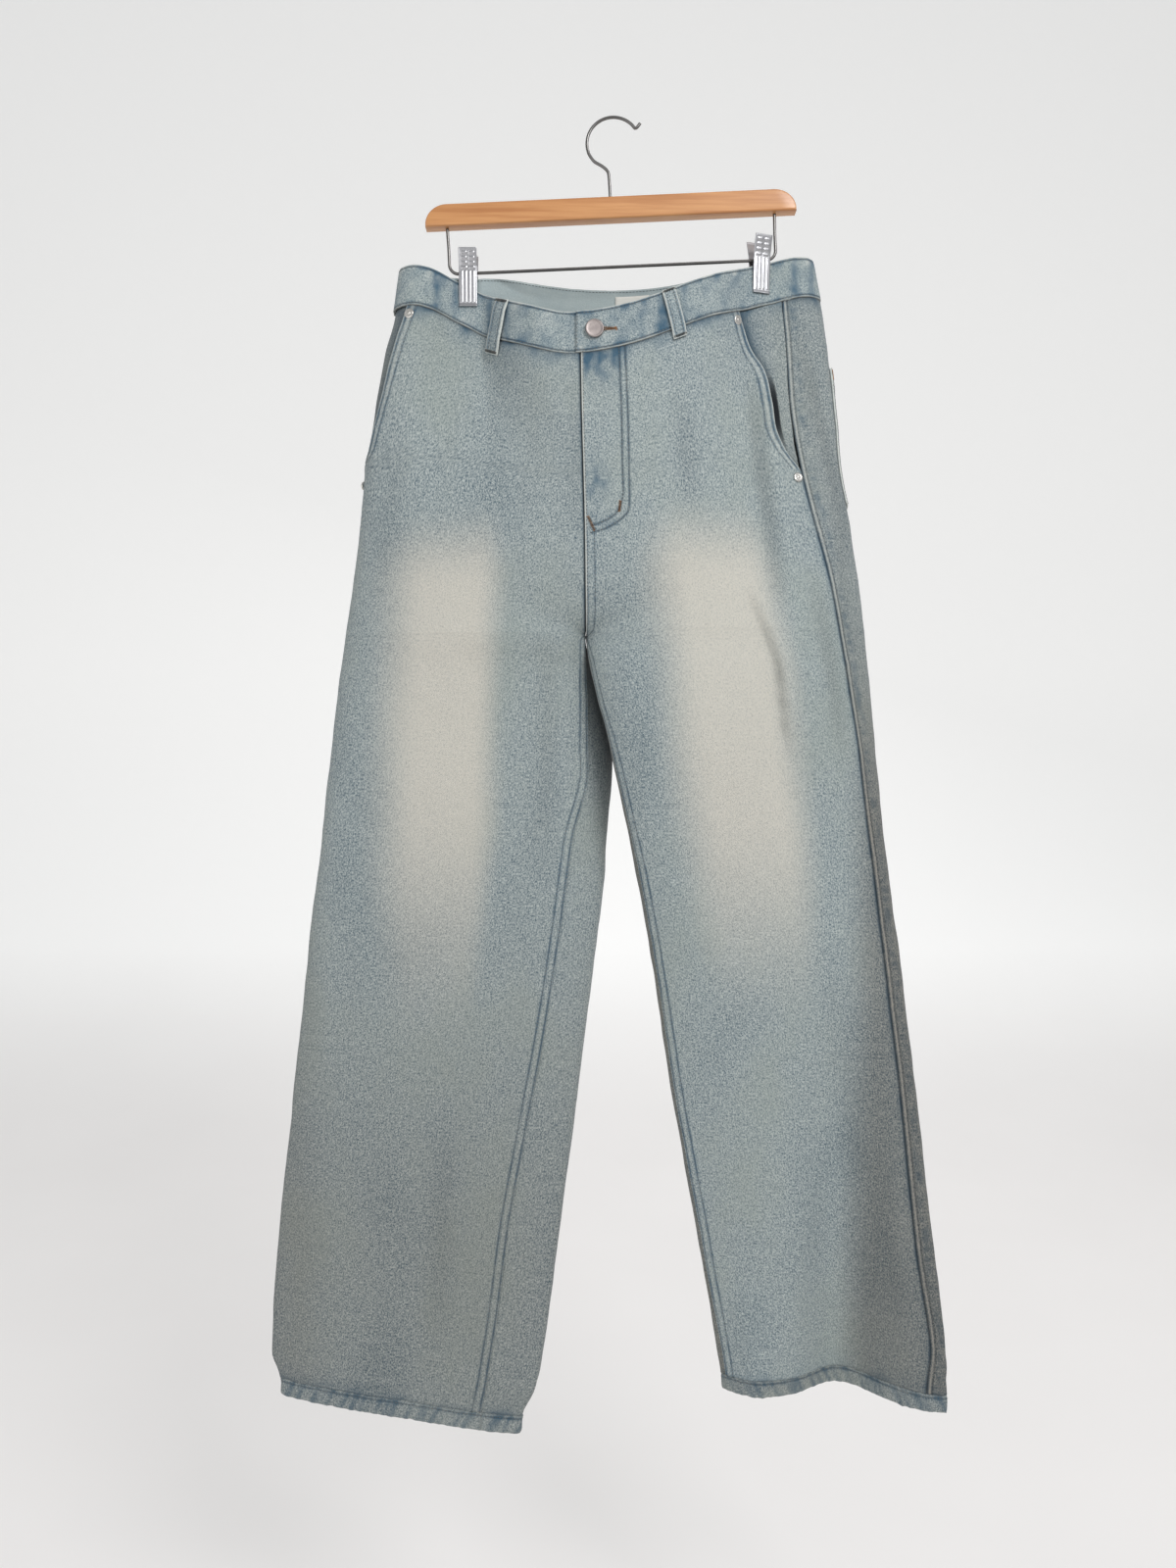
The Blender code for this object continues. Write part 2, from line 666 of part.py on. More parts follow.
def make_facing(side, collection):
    """Make the hip piece that shows in a front pocket's cut away corner."""
    levels = [level for level in levels_of(side) if level > POCKET_END[side] - 30.0]
    edges = front_edges(side)
    under = CLOTH + LAYER_GAP
    last_part = column_parts(side, "front", edges, FRONT_COLUMNS)[-2]
    open_parts = column_parts(side, "front", open_edges(side), FACING_COLUMNS)
    outer = []
    inner = []
    for level in levels:
        start, end = edges(level)
        last = start + (end - start) * last_part
        seam = trimmed(side, level, side_place(side, level), -1.0)
        x_end, _ = section(side, level, [end])
        x_seam, _ = section(side, level, [seam])
        open_width = abs(x_seam[0] - x_end[0]) if seam > end + 0.001 else 0.0
        reach = max(seam - end, 0.02)
        places = [last] + [end + reach * part for part in open_parts]
        rise = float(smooth((open_width - FACING_FLUSH) / 10.0))
        depths = [-under, -under]
        for part in open_parts[1:]:
            depths.append(-under * (1.0 - rise * part))
        places = np.array(places)
        depths = np.array(depths)
        outer.append(surface(side, level, places, depths))
        inner.append(surface(side, level, places, depths - CLOTH))
    name = "pocket_facing_" + side
    mesh = wall_mesh(name, np.array(outer), np.array(inner))
    add_object(name, mesh, "denim", collection)


def band_columns(side):
    """Return the waistband's places on one half: the same as the panels' below it."""
    front_start, front_end = front_edges(side)(PANEL_TOP)
    back_start, back_end = back_edges(side)(PANEL_TOP)
    front_parts = column_parts(side, "front", front_edges(side), FRONT_COLUMNS)
    back_parts = column_parts(side, "back", back_edges(side), BACK_COLUMNS)
    front = front_start + (front_end - front_start) * front_parts
    between_parts = column_parts(side, "front", open_edges(side), FACING_COLUMNS)
    between = (front_end + (back_start - front_end) * between_parts)[1:-1]
    back = back_start + (back_end - back_start) * back_parts
    return np.concatenate([front, between, back])


def band_ring(level, offset_of):
    """Return the waistband's points at a level, from its outer end round to its inner end."""
    right = band_columns("right")
    left = band_columns("left")[::-1]
    front_x = curve_through(HIP_ROWS, "front_x", level)
    lap_start = place_of_x("left", level, front_x - OVERLAP, "front")
    lap_end = place_of_x("right", level, front_x + UNDERLAP, "front")
    pieces = [("left", [lap_start]), ("right", right), ("left", left),
              ("right", np.linspace(0.02, lap_end, 4))]
    points = []
    under = -(BAND_WALL + LAYER_GAP)
    for index, (side, places) in enumerate(pieces):
        places = np.asarray(places, dtype=float)
        sink = np.zeros(len(places))
        if index == 2:
            x, _ = section(side, level, places)
            sinking = smooth((x - (front_x - SINK_START)) / SINK_REACH)
            sink = under * sinking * (places < 1.0)
        if index == 3:
            sink = np.full(len(places), under)
        points.append(surface(side, level, places, offset_of(sink)))
    return np.concatenate(points)


def make_waistband(collection):
    """Make the waistband: one strip whose outer end laps over its inner end at the fly."""
    low = WAIST_LEVEL - BAND_HEIGHT
    levels = (WAIST_LEVEL, PINCH_OPENS_LEVEL, low)
    outer = np.array([band_ring(level, lambda sink: BAND_PROUD + sink) for level in levels])
    inner = np.array([
        band_ring(level, lambda sink: BAND_PROUD - BAND_WALL + sink) for level in levels
    ])
    add_object("waistband", wall_mesh("waistband", outer, inner), "denim_band", collection)
    return outer


def make_hem(side, collection):
    """Make a hem band, the turned up edge of a leg, a little proud of the panels."""
    bottom = HEM_LEVEL[side]
    levels = (bottom + HEM_HEIGHT, bottom + HEM_HEIGHT / 2.0, bottom)
    edges_front = front_edges(side)
    edges_back = back_edges(side)

    def ring(level, offset):
        start, end = edges_front(bottom + HEM_HEIGHT)
        back_start, back_end = edges_back(bottom + HEM_HEIGHT)
        front_parts = column_parts(side, "front", edges_front, FRONT_COLUMNS)
        back_parts = column_parts(side, "back", edges_back, BACK_COLUMNS)
        front = start + (end - start) * front_parts
        back = back_start + (back_end - back_start) * back_parts
        return surface(side, level, wrapped(np.concatenate([front, back])), offset)

    outer = np.array([ring(level, HEM_PROUD) for level in levels])
    inner = np.array([ring(level, HEM_PROUD - HEM_WALL) for level in levels])
    name = "hem_" + side
    add_object(name, wall_mesh(name, outer, inner, closed=True), "denim_band", collection)


def sample(grid, row, column):
    """Read a point between a grid's points."""
    low_row = int(min(math.floor(row), grid.shape[0] - 2))
    low_column = int(min(math.floor(column), grid.shape[1] - 2))
    down = row - low_row
    along = column - low_column
    top = grid[low_row, low_column] * (1 - along) + grid[low_row, low_column + 1] * along
    low = grid[low_row + 1, low_column] * (1 - along) + grid[low_row + 1, low_column + 1] * along
    return top * (1 - down) + low * down


def facet_normal(grid, row, column, sign):
    """Return the outward normal of the grid's quad at a place."""
    r = int(min(math.floor(row), grid.shape[0] - 2))
    c = int(min(math.floor(column), grid.shape[1] - 2))
    across = grid[r, c + 1] + grid[r + 1, c + 1] - grid[r, c] - grid[r + 1, c]
    down = grid[r + 1, c] + grid[r + 1, c + 1] - grid[r, c] - grid[r, c + 1]
    normal = np.cross(across, down) * sign
    return normal / np.linalg.norm(normal)


def grid_sign(side):
    """Return the sign that turns a panel grid's cross product outward."""
    return 1.0 if side == "left" else -1.0


def patch_on(name, grid, rows, columns, sign, wall, collection, material, point_down=0.0):
    """Lay a patch on a panel, made from the panel's points moved out."""
    outer = []
    inner = []
    middle = (columns[0] + columns[-1]) / 2.0
    half = (columns[-1] - columns[0]) / 2.0
    for index, row in enumerate(rows):
        outer_row = []
        inner_row = []
        for column in columns:
            drop = 0.0
            if index == len(rows) - 1:
                drop = point_down * (1.0 - abs(column - middle) / half)
            place = row + drop
            point = sample(grid, place, column)
            normal = facet_normal(grid, place, column - 0.001, sign)
            inner_row.append(point + normal * LAYER_GAP)
            outer_row.append(point + normal * (LAYER_GAP + wall))
        outer.append(outer_row)
        inner.append(inner_row)
    mesh = wall_mesh(name, np.array(outer), np.array(inner))
    add_object(name, mesh, material, collection)


def make_back_pocket(side, grid, collection):
    """Make a back patch pocket with a shallow pointed bottom."""
    rows = [float(row) for row in range(BACK_POCKET_ROWS[0], BACK_POCKET_ROWS[1] + 1)]
    columns = [float(c) for c in range(BACK_POCKET_COLUMNS[0], BACK_POCKET_COLUMNS[1] + 1)]
    patch_on("back_pocket_" + side, grid, rows, columns, grid_sign(side), CLOTH,
             collection, "denim", point_down=0.8)


def panel_column(side, wall, v, level):
    """Return the column of a panel's grid at v."""
    edges = front_edges(side) if wall == "front" else back_edges(side)
    columns = FRONT_COLUMNS if wall == "front" else BACK_COLUMNS
    start, end = edges(level)
    parts = column_parts(side, wall, edges, columns)
    return float(np.interp((v - start) / (end - start), parts, np.arange(columns + 1)))


def band_column(side, v):
    """Return the column of the waistband's grid at v."""
    places = band_columns(side)
    column = float(np.interp(v, places, np.arange(len(places))))
    if side == "right":
        return 1.0 + column
    return 1.0 + len(band_columns("right")) + len(places) - 1.0 - column


def make_loop(place, band, panels, collection):
    """Make a belt loop: a strip sewn to the waistband's top edge and to the panel below.

    It is laid on the points of the waistband and of the panel, moved out.
    """
    panel = panels[place.side]
    low = WAIST_LEVEL - BAND_HEIGHT
    row_step = PANEL_TOP - HIP_LEVELS[0]
    stations = (
        ("band", 0.0, LOOP_SEAT),
        ("band", 0.15, LOOP_STANDS),
        ("band", 1.4, LOOP_STANDS),
        ("panel", LOOP_LEAVES / row_step, LOOP_STANDS),
        ("panel", place.drop / row_step, LOOP_SEAT),
    )
    outer = []
    inner = []
    for kind, row, lift in stations:
        outer_row = []
        inner_row = []
        for across in (-LOOP_WIDTH / 2.0, 0.0, LOOP_WIDTH / 2.0):
            v = place_of_x(place.side, low, place.x + across, place.wall)
            if kind == "band":
                grid = band
                column = band_column(place.side, v)
                normal = facet_normal(grid, row, column, -1.0)
            else:
                grid = panel
                column = panel_column(place.side, place.wall, v, low)
                normal = facet_normal(grid, row, column, grid_sign(place.side))
            point = sample(grid, row, column)
            inner_row.append(point + normal * lift)
            outer_row.append(point + normal * (lift + LOOP_WALL))
        outer.append(outer_row)
        inner.append(inner_row)
    name = "belt_loop_" + place.name
    mesh = wall_mesh(name, np.array(outer), np.array(inner))
    add_object(name, mesh, "denim_band", collection)


def turned(name, profile, segments, place, normal, material, collection):
    """Turn a profile of radius and height pairs about a normal at a place."""
    mesh = bpy.data.meshes.new(name)
    points = [Vector((radius * MM, 0.0, rise * MM)) for radius, rise in profile]
    edges = [(index, index + 1) for index in range(len(points) - 1)]
    mesh.from_pydata(points, edges, [])
    item = add_object(name, mesh, material, collection)
    screw = item.modifiers.new("turn", "SCREW")
    screw.steps = segments
    screw.render_steps = segments
    screw.use_merge_vertices = True
    screw.merge_threshold = 0.00001
    screw.use_smooth_shade = True
    axis = Vector(tuple(normal)).normalized()
    item.matrix_world = (
        Matrix.Translation(Vector(tuple(place)) * MM)
        @ axis.to_track_quat("Z", "Y").to_matrix().to_4x4()
    )
    return item


def make_rivet(rivet, grid, collection):
    """Make a domed rivet on a panel, at one end of a front pocket."""
    name = "rivet_" + rivet.name
    place = sample(grid, rivet.row, rivet.column)
    normal = facet_normal(grid, rivet.row, rivet.column, grid_sign(rivet.side))
    profile =((0.0, RIVET_HEIGHT), (RIVET_RADIUS * 0.45, RIVET_HEIGHT * 0.93),
               (RIVET_RADIUS * 0.85, RIVET_HEIGHT * 0.6), (RIVET_RADIUS, RIVET_HEIGHT * 0.2),
               (RIVET_RADIUS, 0.0), (0.0, 0.0))
    turned(name, profile, 14, place + normal * RIVET_SEAT, normal, "pewter", collection)


def make_button(collection):
    """Make the flat metal button at the end of the waistband."""
    x, below = BUTTON_PLACE
    level = WAIST_LEVEL - below
    v = place_of_x("right", level, x, "front")
    place = surface("right", level, [v], BAND_PROUD + LAYER_GAP + SEAM_GAP)[0]
    profile = ((0.0, BUTTON_HEIGHT * 0.75), (BUTTON_RADIUS * 0.7, BUTTON_HEIGHT * 0.75),
               (BUTTON_RADIUS * 0.78, BUTTON_HEIGHT), (BUTTON_RADIUS * 0.92, BUTTON_HEIGHT),
               (BUTTON_RADIUS, BUTTON_HEIGHT * 0.6), (BUTTON_RADIUS * 0.9, BUTTON_HEIGHT * 0.3),
               (BUTTON_RADIUS * 0.5, 0.0), (0.0, 0.0))
    turned("button", profile, 24, place, (0.03, -1.0, 0.02), "pewter", collection)


def make_label(collection):
    """Make the bare label inside the back of the waistband, beside the centre back."""
    top = WAIST_LEVEL - LABEL_BELOW_EDGE
    levels = (top, top - LABEL_HEIGHT)
    outer = []
    inner = []
    inward = BAND_PROUD - BAND_WALL - LAYER_GAP
    for level in levels:
        seam = curve_through(HIP_ROWS, "back_x", level)
        start = place_of_x("left", level, seam - LABEL_WIDTH, "back")
        places = np.linspace(start, 1.999, 5)
        outer.append(surface("left", level, places, inward))
        inner.append(surface("left", level, places, inward - LABEL_WALL))
    mesh = wall_mesh("label", np.array(outer), np.array(inner))
    add_object("label", mesh, "label", collection)


def curve_tube(name, points, radius, material, collection, resolution=2):
    """Make a wire along points in millimetres."""
    curve = bpy.data.curves.new(name, "CURVE")
    curve.dimensions = "3D"
    curve.bevel_depth = radius * MM
    curve.bevel_resolution = resolution
    curve.use_fill_caps = True
    spline = curve.splines.new("POLY")
    spline.points.add(len(points) - 1)
    for target, point in zip(spline.points, points):
        target.co = (point[0] * MM, point[1] * MM, point[2] * MM, 1.0)
    curve.materials.append(finish(material))
    item = bpy.data.objects.new(name, curve)
    collection.objects.link(item)
    return item


def tilted(x, z):
    """Turn a hanger point by the hanger's tilt about the bar's centre."""
    cosine = math.cos(HANGER_TILT)
    sine = math.sin(HANGER_TILT)
    return (BAR_CENTRE[0] + x * cosine - z * sine, BAR_CENTRE[2] + x * sine + z * cosine)


def make_bar(collection):
    """Make the wooden bar: a flat outline with elliptical shoulders, then eased edges."""
    half = BAR_LENGTH / 2.0
    outline = [(-half, -BAR_HEIGHT / 2.0)]
    for step in range(1, 9):
        angle = math.pi / 2.0 * step / 8
        rise = BAR_FOOT + (BAR_HEIGHT - BAR_FOOT) * math.sin(angle)
        outline.append((-half + BAR_SHOULDER * (1.0 - math.cos(angle)),
                        -BAR_HEIGHT / 2.0 + rise))
    outline += [(-x, z) for x, z in reversed(outline)]
    curve = bpy.data.curves.new("bar", "CURVE")
    curve.dimensions = "2D"
    curve.fill_mode = "BOTH"
    curve.extrude = (BAR_DEPTH / 2.0 - BAR_EDGE) * MM
    curve.bevel_depth = BAR_EDGE * MM
    curve.offset = -BAR_EDGE * MM
    curve.bevel_resolution = 1
    spline = curve.splines.new("POLY")
    spline.points.add(len(outline) - 1)
    for target, (x, z) in zip(spline.points, outline):
        target.co = (x * MM, z * MM, 0.0, 1.0)
    spline.use_cyclic_u = True
    source = bpy.data.objects.new("bar_outline", curve)
    collection.objects.link(source)
    bpy.context.view_layer.update()
    evaluated = source.evaluated_get(bpy.context.evaluated_depsgraph_get())
    mesh = bpy.data.meshes.new_from_object(evaluated)
    bpy.data.objects.remove(source, do_unlink=True)
    shape = bmesh.new()
    shape.from_mesh(mesh)
    bmesh.ops.remove_doubles(shape, verts=shape.verts, dist=0.00001)
    bmesh.ops.recalc_face_normals(shape, faces=shape.faces)
    shape.to_mesh(mesh)
    shape.free()
    item = add_object("hanger_bar", mesh, "wood", collection)
    upright = Matrix.Rotation(math.radians(90.0), 4, "X")
    turn = Matrix.Rotation(-HANGER_TILT, 4, "Y")
    item.matrix_world = Matrix.Translation(Vector(BAR_CENTRE) * MM) @ turn @ upright


def make_hook(collection):
    """Make the hook: a straight neck, a bend and an arc with a short turned out tip."""
    foot_z = tilted(0.0, BAR_HEIGHT / 2.0)[1] + SEAM_GAP + 0.2
    points = [(BAR_CENTRE[0], foot_z)] + list(NECK_POINTS)
    cx, cz = HOOK_CENTRE
    steps = 18
    for step in range(steps + 1):
        angle = HOOK_START_ANGLE + (HOOK_END_ANGLE - HOOK_START_ANGLE) * step / steps
        points.append((cx + HOOK_RADIUS * math.cos(angle), cz + HOOK_RADIUS * math.sin(angle)))
    end_x, end_z = points[-1]
    points += [(end_x + step_x, end_z + step_z) for step_x, step_z in TIP_STEPS]
    curve_tube("hanger_hook", [(x, 0.0, z) for x, z in points], WIRE_RADIUS, "steel", collection)


def make_frame(collection):
    """Make the wire frame below the bar, on which the clips slide."""
    top = -BAR_HEIGHT / 2.0 - SEAM_GAP - 0.1
    corner = []
    for step in range(7):
        angle = math.pi + math.pi / 2.0 * step / 6
        corner.append((-FRAME_HALF_WIDTH + FRAME_CORNER * (1.0 + math.cos(angle)),
                       -FRAME_DROP + FRAME_CORNER * (1.0 + math.sin(angle))))
    half = [(-FRAME_HALF_WIDTH - 0.5, top), (-FRAME_HALF_WIDTH, -30.0)] + corner
    half.append((-70.0, -FRAME_DROP))
    outline = half + [(0.0, -FRAME_DROP)] + [(-x, z) for x, z in reversed(half)]
    points = [(tilted(x, z)[0], 0.0, tilted(x, z)[1]) for x, z in outline]
    curve_tube("hanger_frame", points, WIRE_RADIUS, "steel", collection)


def make_clip(side, collection):
    """Make a clip: two sprung plates and the barrel they turn on."""
    clip_x = CLIP_X[side]
    rise = math.tan(HANGER_TILT) * (clip_x - BAR_CENTRE[0])
    wire_z = BAR_CENTRE[2] - FRAME_DROP / math.cos(HANGER_TILT) + rise
    jaw = PINCH_HALF_GAP + BAND_PROUD + LAYER_GAP
    profile = (
        (CLIP_TOP, 9.8),
        (CLIP_TOP - 2.0, 9.4),
        (5.0, CLIP_PIVOT + 0.6),
        (0.0, CLIP_PIVOT),
        (-5.0, CLIP_PIVOT - 0.2),
        (-16.0, CLIP_PIVOT - 0.9),
        (CLIP_BOTTOM + 3.0, jaw),
        (CLIP_BOTTOM, jaw + 0.9),
    )
    turn = CLIP_TURN[side]
    frame = (
        Matrix.Translation(Vector((clip_x, 0.0, wire_z)) * MM)
        @ Matrix.Rotation(turn, 4, "Z")
    )
    for name, face in (("front", -1.0), ("back", 1.0)):
        near = []
        far = []
        for z, y in profile:
            near.append([(x, face * y, z) for x in (-CLIP_WIDTH / 2.0, CLIP_WIDTH / 2.0)])
            far.append([(x, face * (y + CLIP_SHEET), z)
                        for x in (-CLIP_WIDTH / 2.0, CLIP_WIDTH / 2.0)])
        piece = "clip_" + side + "_" + name
        mesh = wall_mesh(piece, np.array(far), np.array(near))
        item = add_object(piece, mesh, "steel", collection)
        item.matrix_world = frame
    half = BARREL_LENGTH / 2.0
    ring = ((BARREL_BORE, half), (BARREL_RADIUS, half), (BARREL_RADIUS, -half),
            (BARREL_BORE, -half), (BARREL_BORE, half))
    axis = (math.cos(HANGER_TILT), 0.0, math.sin(HANGER_TILT))
    turned("clip_" + side + "_barrel", ring, 16, (clip_x, 0.0, wire_z), axis, "steel",
           collection)


def main():
    """Build every piece of the jeans and the hanger."""
    clear_scene()
    collection = bpy.data.collections.new("jeans_on_hanger")
    bpy.context.scene.collection.children.link(collection)
    fronts = {}
    backs = {}
    for side in ("left", "right"):
        fronts[side] = make_front(side, collection)
        backs[side] = make_back(side, collection)
        make_facing(side, collection)
        make_hem(side, collection)
        make_back_pocket(side, backs[side], collection)
    band = make_waistband(collection)
    for place in LOOP_PLACES:
        make_loop(place, band, fronts if place.wall == "front" else backs, collection)
    for place in RIVET_PLACES:
        make_rivet(place, fronts[place.side], collection)
    make_button(collection)
    make_label(collection)
    make_bar(collection)
    make_hook(collection)
    make_frame(collection)
    for side in ("left", "right"):
        make_clip(side, collection)


main()
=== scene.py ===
"""Looks of pale blue wide leg jeans that hang from a wooden clip hanger.

Lengths in the tables and classes are in millimetres, and meshes are made in metres. The
origin is the inner top of the hanger's hook, +X is to the right seen from the front, +Z is
up, and the front of the jeans faces -Y. Left and right are those of someone who looks at
the front.
"""

import logging
import math
from dataclasses import dataclass, field
from enum import Enum
from typing import Any, Callable, NamedTuple, Optional, Sequence

import bmesh
import bpy
import numpy as np
from mathutils import Matrix, Vector
from mathutils.bvhtree import BVHTree


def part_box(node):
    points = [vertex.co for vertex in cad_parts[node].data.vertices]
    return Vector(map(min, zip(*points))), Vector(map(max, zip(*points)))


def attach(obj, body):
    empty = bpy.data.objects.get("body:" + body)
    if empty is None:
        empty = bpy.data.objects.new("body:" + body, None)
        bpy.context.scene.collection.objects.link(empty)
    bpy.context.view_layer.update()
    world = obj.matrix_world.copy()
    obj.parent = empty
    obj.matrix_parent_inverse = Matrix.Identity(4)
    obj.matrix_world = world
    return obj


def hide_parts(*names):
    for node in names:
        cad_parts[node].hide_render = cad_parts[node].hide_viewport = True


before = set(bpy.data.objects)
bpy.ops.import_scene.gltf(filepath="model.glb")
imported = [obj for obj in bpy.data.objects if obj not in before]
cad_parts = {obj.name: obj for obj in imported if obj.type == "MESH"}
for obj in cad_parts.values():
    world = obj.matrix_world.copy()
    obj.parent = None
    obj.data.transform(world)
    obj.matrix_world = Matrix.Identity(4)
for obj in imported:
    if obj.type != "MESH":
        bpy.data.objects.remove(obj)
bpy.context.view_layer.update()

LOG = logging.getLogger("jeans")
MM = 0.001
BODY = "root"
Array = np.ndarray
Material = bpy.types.Material
Pair = tuple[float, float]
Triple = tuple[float, float, float]


class Side(Enum):
    """Which half of the garment, seen from the front."""

    LEFT = "left"
    RIGHT = "right"

    @property
    def sign(self) -> float:
        """Return -1 for the left half and 1 for the right half."""
        return -1.0 if self is Side.LEFT else 1.0


class Wall(Enum):
    """Which wall of the garment."""

    FRONT = "front"
    BACK = "back"


class HipRow(NamedTuple):
    """One level of the body above the crotch."""

    level: float
    left_x: float
    left_y: float
    right_x: float
    right_y: float
    front_bow: float
    back_bow: float
    front_x: float
    back_x: float
    left_side: float
    right_side: float


class LegRow(NamedTuple):
    """One level of a leg."""

    level: float
    inner_x: float
    inner_y: float
    outer_x: float
    outer_y: float
    front_bow: float
    back_bow: float
    inseam: float
    side: float


class Fold(NamedTuple):
    """A large fold: a positive depth is a trough, pushed back."""

    side: Side
    walls: str
    top: float
    full: float
    end: float
    across_top: float
    across_end: float
    width: float
    depth: float


class EdgePoint(NamedTuple):
    """A point of a pocket's edge."""

    level: float
    x: float


class Crease(NamedTuple):
    """A small crease on a wall: its path of x and z. A negative height is a furrow."""

    path: tuple[Pair, ...]
    width: float
    height: float


class Fade(NamedTuple):
    """A thigh's pale fade: where it lies, and how far it is full and then thins out."""

    x: float
    slant: float
    outer: Pair
    inner: Pair
    top: float
    low: float
    fall: float
    rise: float = 84.0


HIP_ROWS = (
    HipRow(-137, -206.0, 5, 196.0, 25, 45, 26, -31.0, 27, -6, 36),
    HipRow(-178, -212.0, 6, 203.0, 22, 50, 27, -31.0, 26, -6, 41),
    HipRow(-220, -223.0, 8, 208.0, 18, 54, 28, -30.5, 23, -6, 42),
    HipRow(-279, -233.0, 9, 214.0, 12, 57, 29, -29.5, 16, -6, 44),
    HipRow(-336, -239.5, 9, 219.5, 6, 58, 30, -28.5, 6, -6, 42),
    HipRow(-393, -245.0, 9, 228.0, 0, 58, 30, -27.5, -6, -6, 39),
    HipRow(-450, -252.0, 9, 234.5, -6, 56, 31, -26.8, -18, -6, 33),
    HipRow(-498, -258.5, 9, 238.5, -10, 52, 31, -26.4, -26.4, -6, 29),
)

LEG_ROWS = {
    Side.LEFT: (
        LegRow(-498, -26.4, 0, -258.5, 9, 52, 31, 0, -6),
        LegRow(-527, -19.5, 16, -262.5, 9, 50, 30, 7, -6),
        LegRow(-565, -7.0, 24, -267.5, 9, 47, 28, 18, -6),
        LegRow(-603, -0.5, 27, -272.0, 9, 44, 26, 24, -6),
        LegRow(-630, -1.0, 26, -275.5, 9, 42, 25, 23, -6),
        LegRow(-688, -6.0, 25, -282.0, 10, 38, 22, 32, -6),
        LegRow(-733, -8.5, 24, -287.5, 10, 35, 20, 36, -6),
        LegRow(-783, -14.0, 18, -293.6, 10, 32, 18, 37, -6),
        LegRow(-878, -27.0, 8, -304.0, 10, 26, 15, 39, -6),
        LegRow(-973, -40.0, 0, -313.0, 10, 21, 13, 44, -6),
        LegRow(-1068, -53.0, -10, -323.0, 10, 16, 12, 48, -6),
        LegRow(-1163, -66.0, -18, -329.8, 10, 12, 11, 48, -6),
        LegRow(-1200, -74.0, -22, -331.0, 10, 11, 10, 46, -6),
        LegRow(-1222, -84.5, -26, -323.5, 10, 10, 10, 40, -6),
        LegRow(-1242, -88.0, -28, -322.0, 10, 10, 10, 39, -6),
    ),
    Side.RIGHT: (
        LegRow(-498, -26.4, 0, 238.5, -10, 52, 31, 0, 29),
        LegRow(-527, -22.6, -14, 241.0, -11, 50, 30, 1, 27),
        LegRow(-565, -14.3, -20, 244.0, -13, 46, 28, 1, 25),
        LegRow(-603, -5.0, -22, 247.5, -15, 42, 27, 2, 22),
        LegRow(-667, 9.3, -20, 252.5, -18, 34, 25, 2, 18),
        LegRow(-733, 22.9, -15, 260.0, -22, 29, 22, 3, 17),
        LegRow(-827, 39.2, -8, 271.0, -28, 23, 18, 3, 17),
        LegRow(-923, 53.8, 0, 281.5, -34, 17, 15, 3, 16),
        LegRow(-1075, 81.8, 8, 296.0, -42, 12, 11, 3, 16),
        LegRow(-1163, 97.0, 12, 306.5, -44, 9, 9, 4, 14),
        LegRow(-1200, 103.5, 13, 308.0, -44, 8, 8, 4, 18),
        LegRow(-1235, 108.0, 15, 308.0, -43, 8, 8, 4, 19),
    ),
}

FOLDS = (
    Fold(Side.RIGHT, "front back", -760, -1215, -1400, 0.80, 0.56, 0.20, 46),
    Fold(Side.RIGHT, "front back", -1080, -1200, -1400, 0.14, 0.14, 0.10, -7),
    Fold(Side.RIGHT, "front", -190, -300, -560, 0.86, 0.80, 0.06, 6),
    Fold(Side.RIGHT, "front", -420, -560, -640, 0.62, 0.74, 0.06, -5),
    Fold(Side.RIGHT, "back", -200, -420, -620, 0.90, 0.93, 0.06, -6),
    Fold(Side.RIGHT, "front", -600, -700, -980, 0.84, 0.86, 0.10, 7),
    Fold(Side.LEFT, "front", -560, -700, -1000, 0.26, 0.20, 0.09, 6),
    Fold(Side.LEFT, "front", -820, -1080, -1300, 0.40, 0.45, 0.14, 5),
    Fold(Side.LEFT, "back", -640, -900, -1200, 0.35, 0.45, 0.16, -6),
    Fold(Side.RIGHT, "back", -560, -720, -1000, 0.40, 0.35, 0.16, -6),
)

POCKET_EDGE = {
    Side.LEFT: (
        EdgePoint(-178, -196.0), EdgePoint(-216, -208.0), EdgePoint(-258, -219.5),
        EdgePoint(-296, -229.0), EdgePoint(-322, -234.5),
    ),
    Side.RIGHT: (
        EdgePoint(-178, 119.0), EdgePoint(-216, 131.0), EdgePoint(-240, 143.5),
        EdgePoint(-276, 150.0), EdgePoint(-302, 153.5), EdgePoint(-324, 163.0),
    ),
}

FADE_LEVEL = -459.0
FADES = {
    Side.LEFT: Fade(-156.0, 0.042, (18.0, 64.0), (26.0, 36.0), -460.0, -630.0, 280.0),
    Side.RIGHT: Fade(96.0, -0.12, (28.0, 44.0), (22.0, 62.0), -452.0, -650.0, 230.0),
}

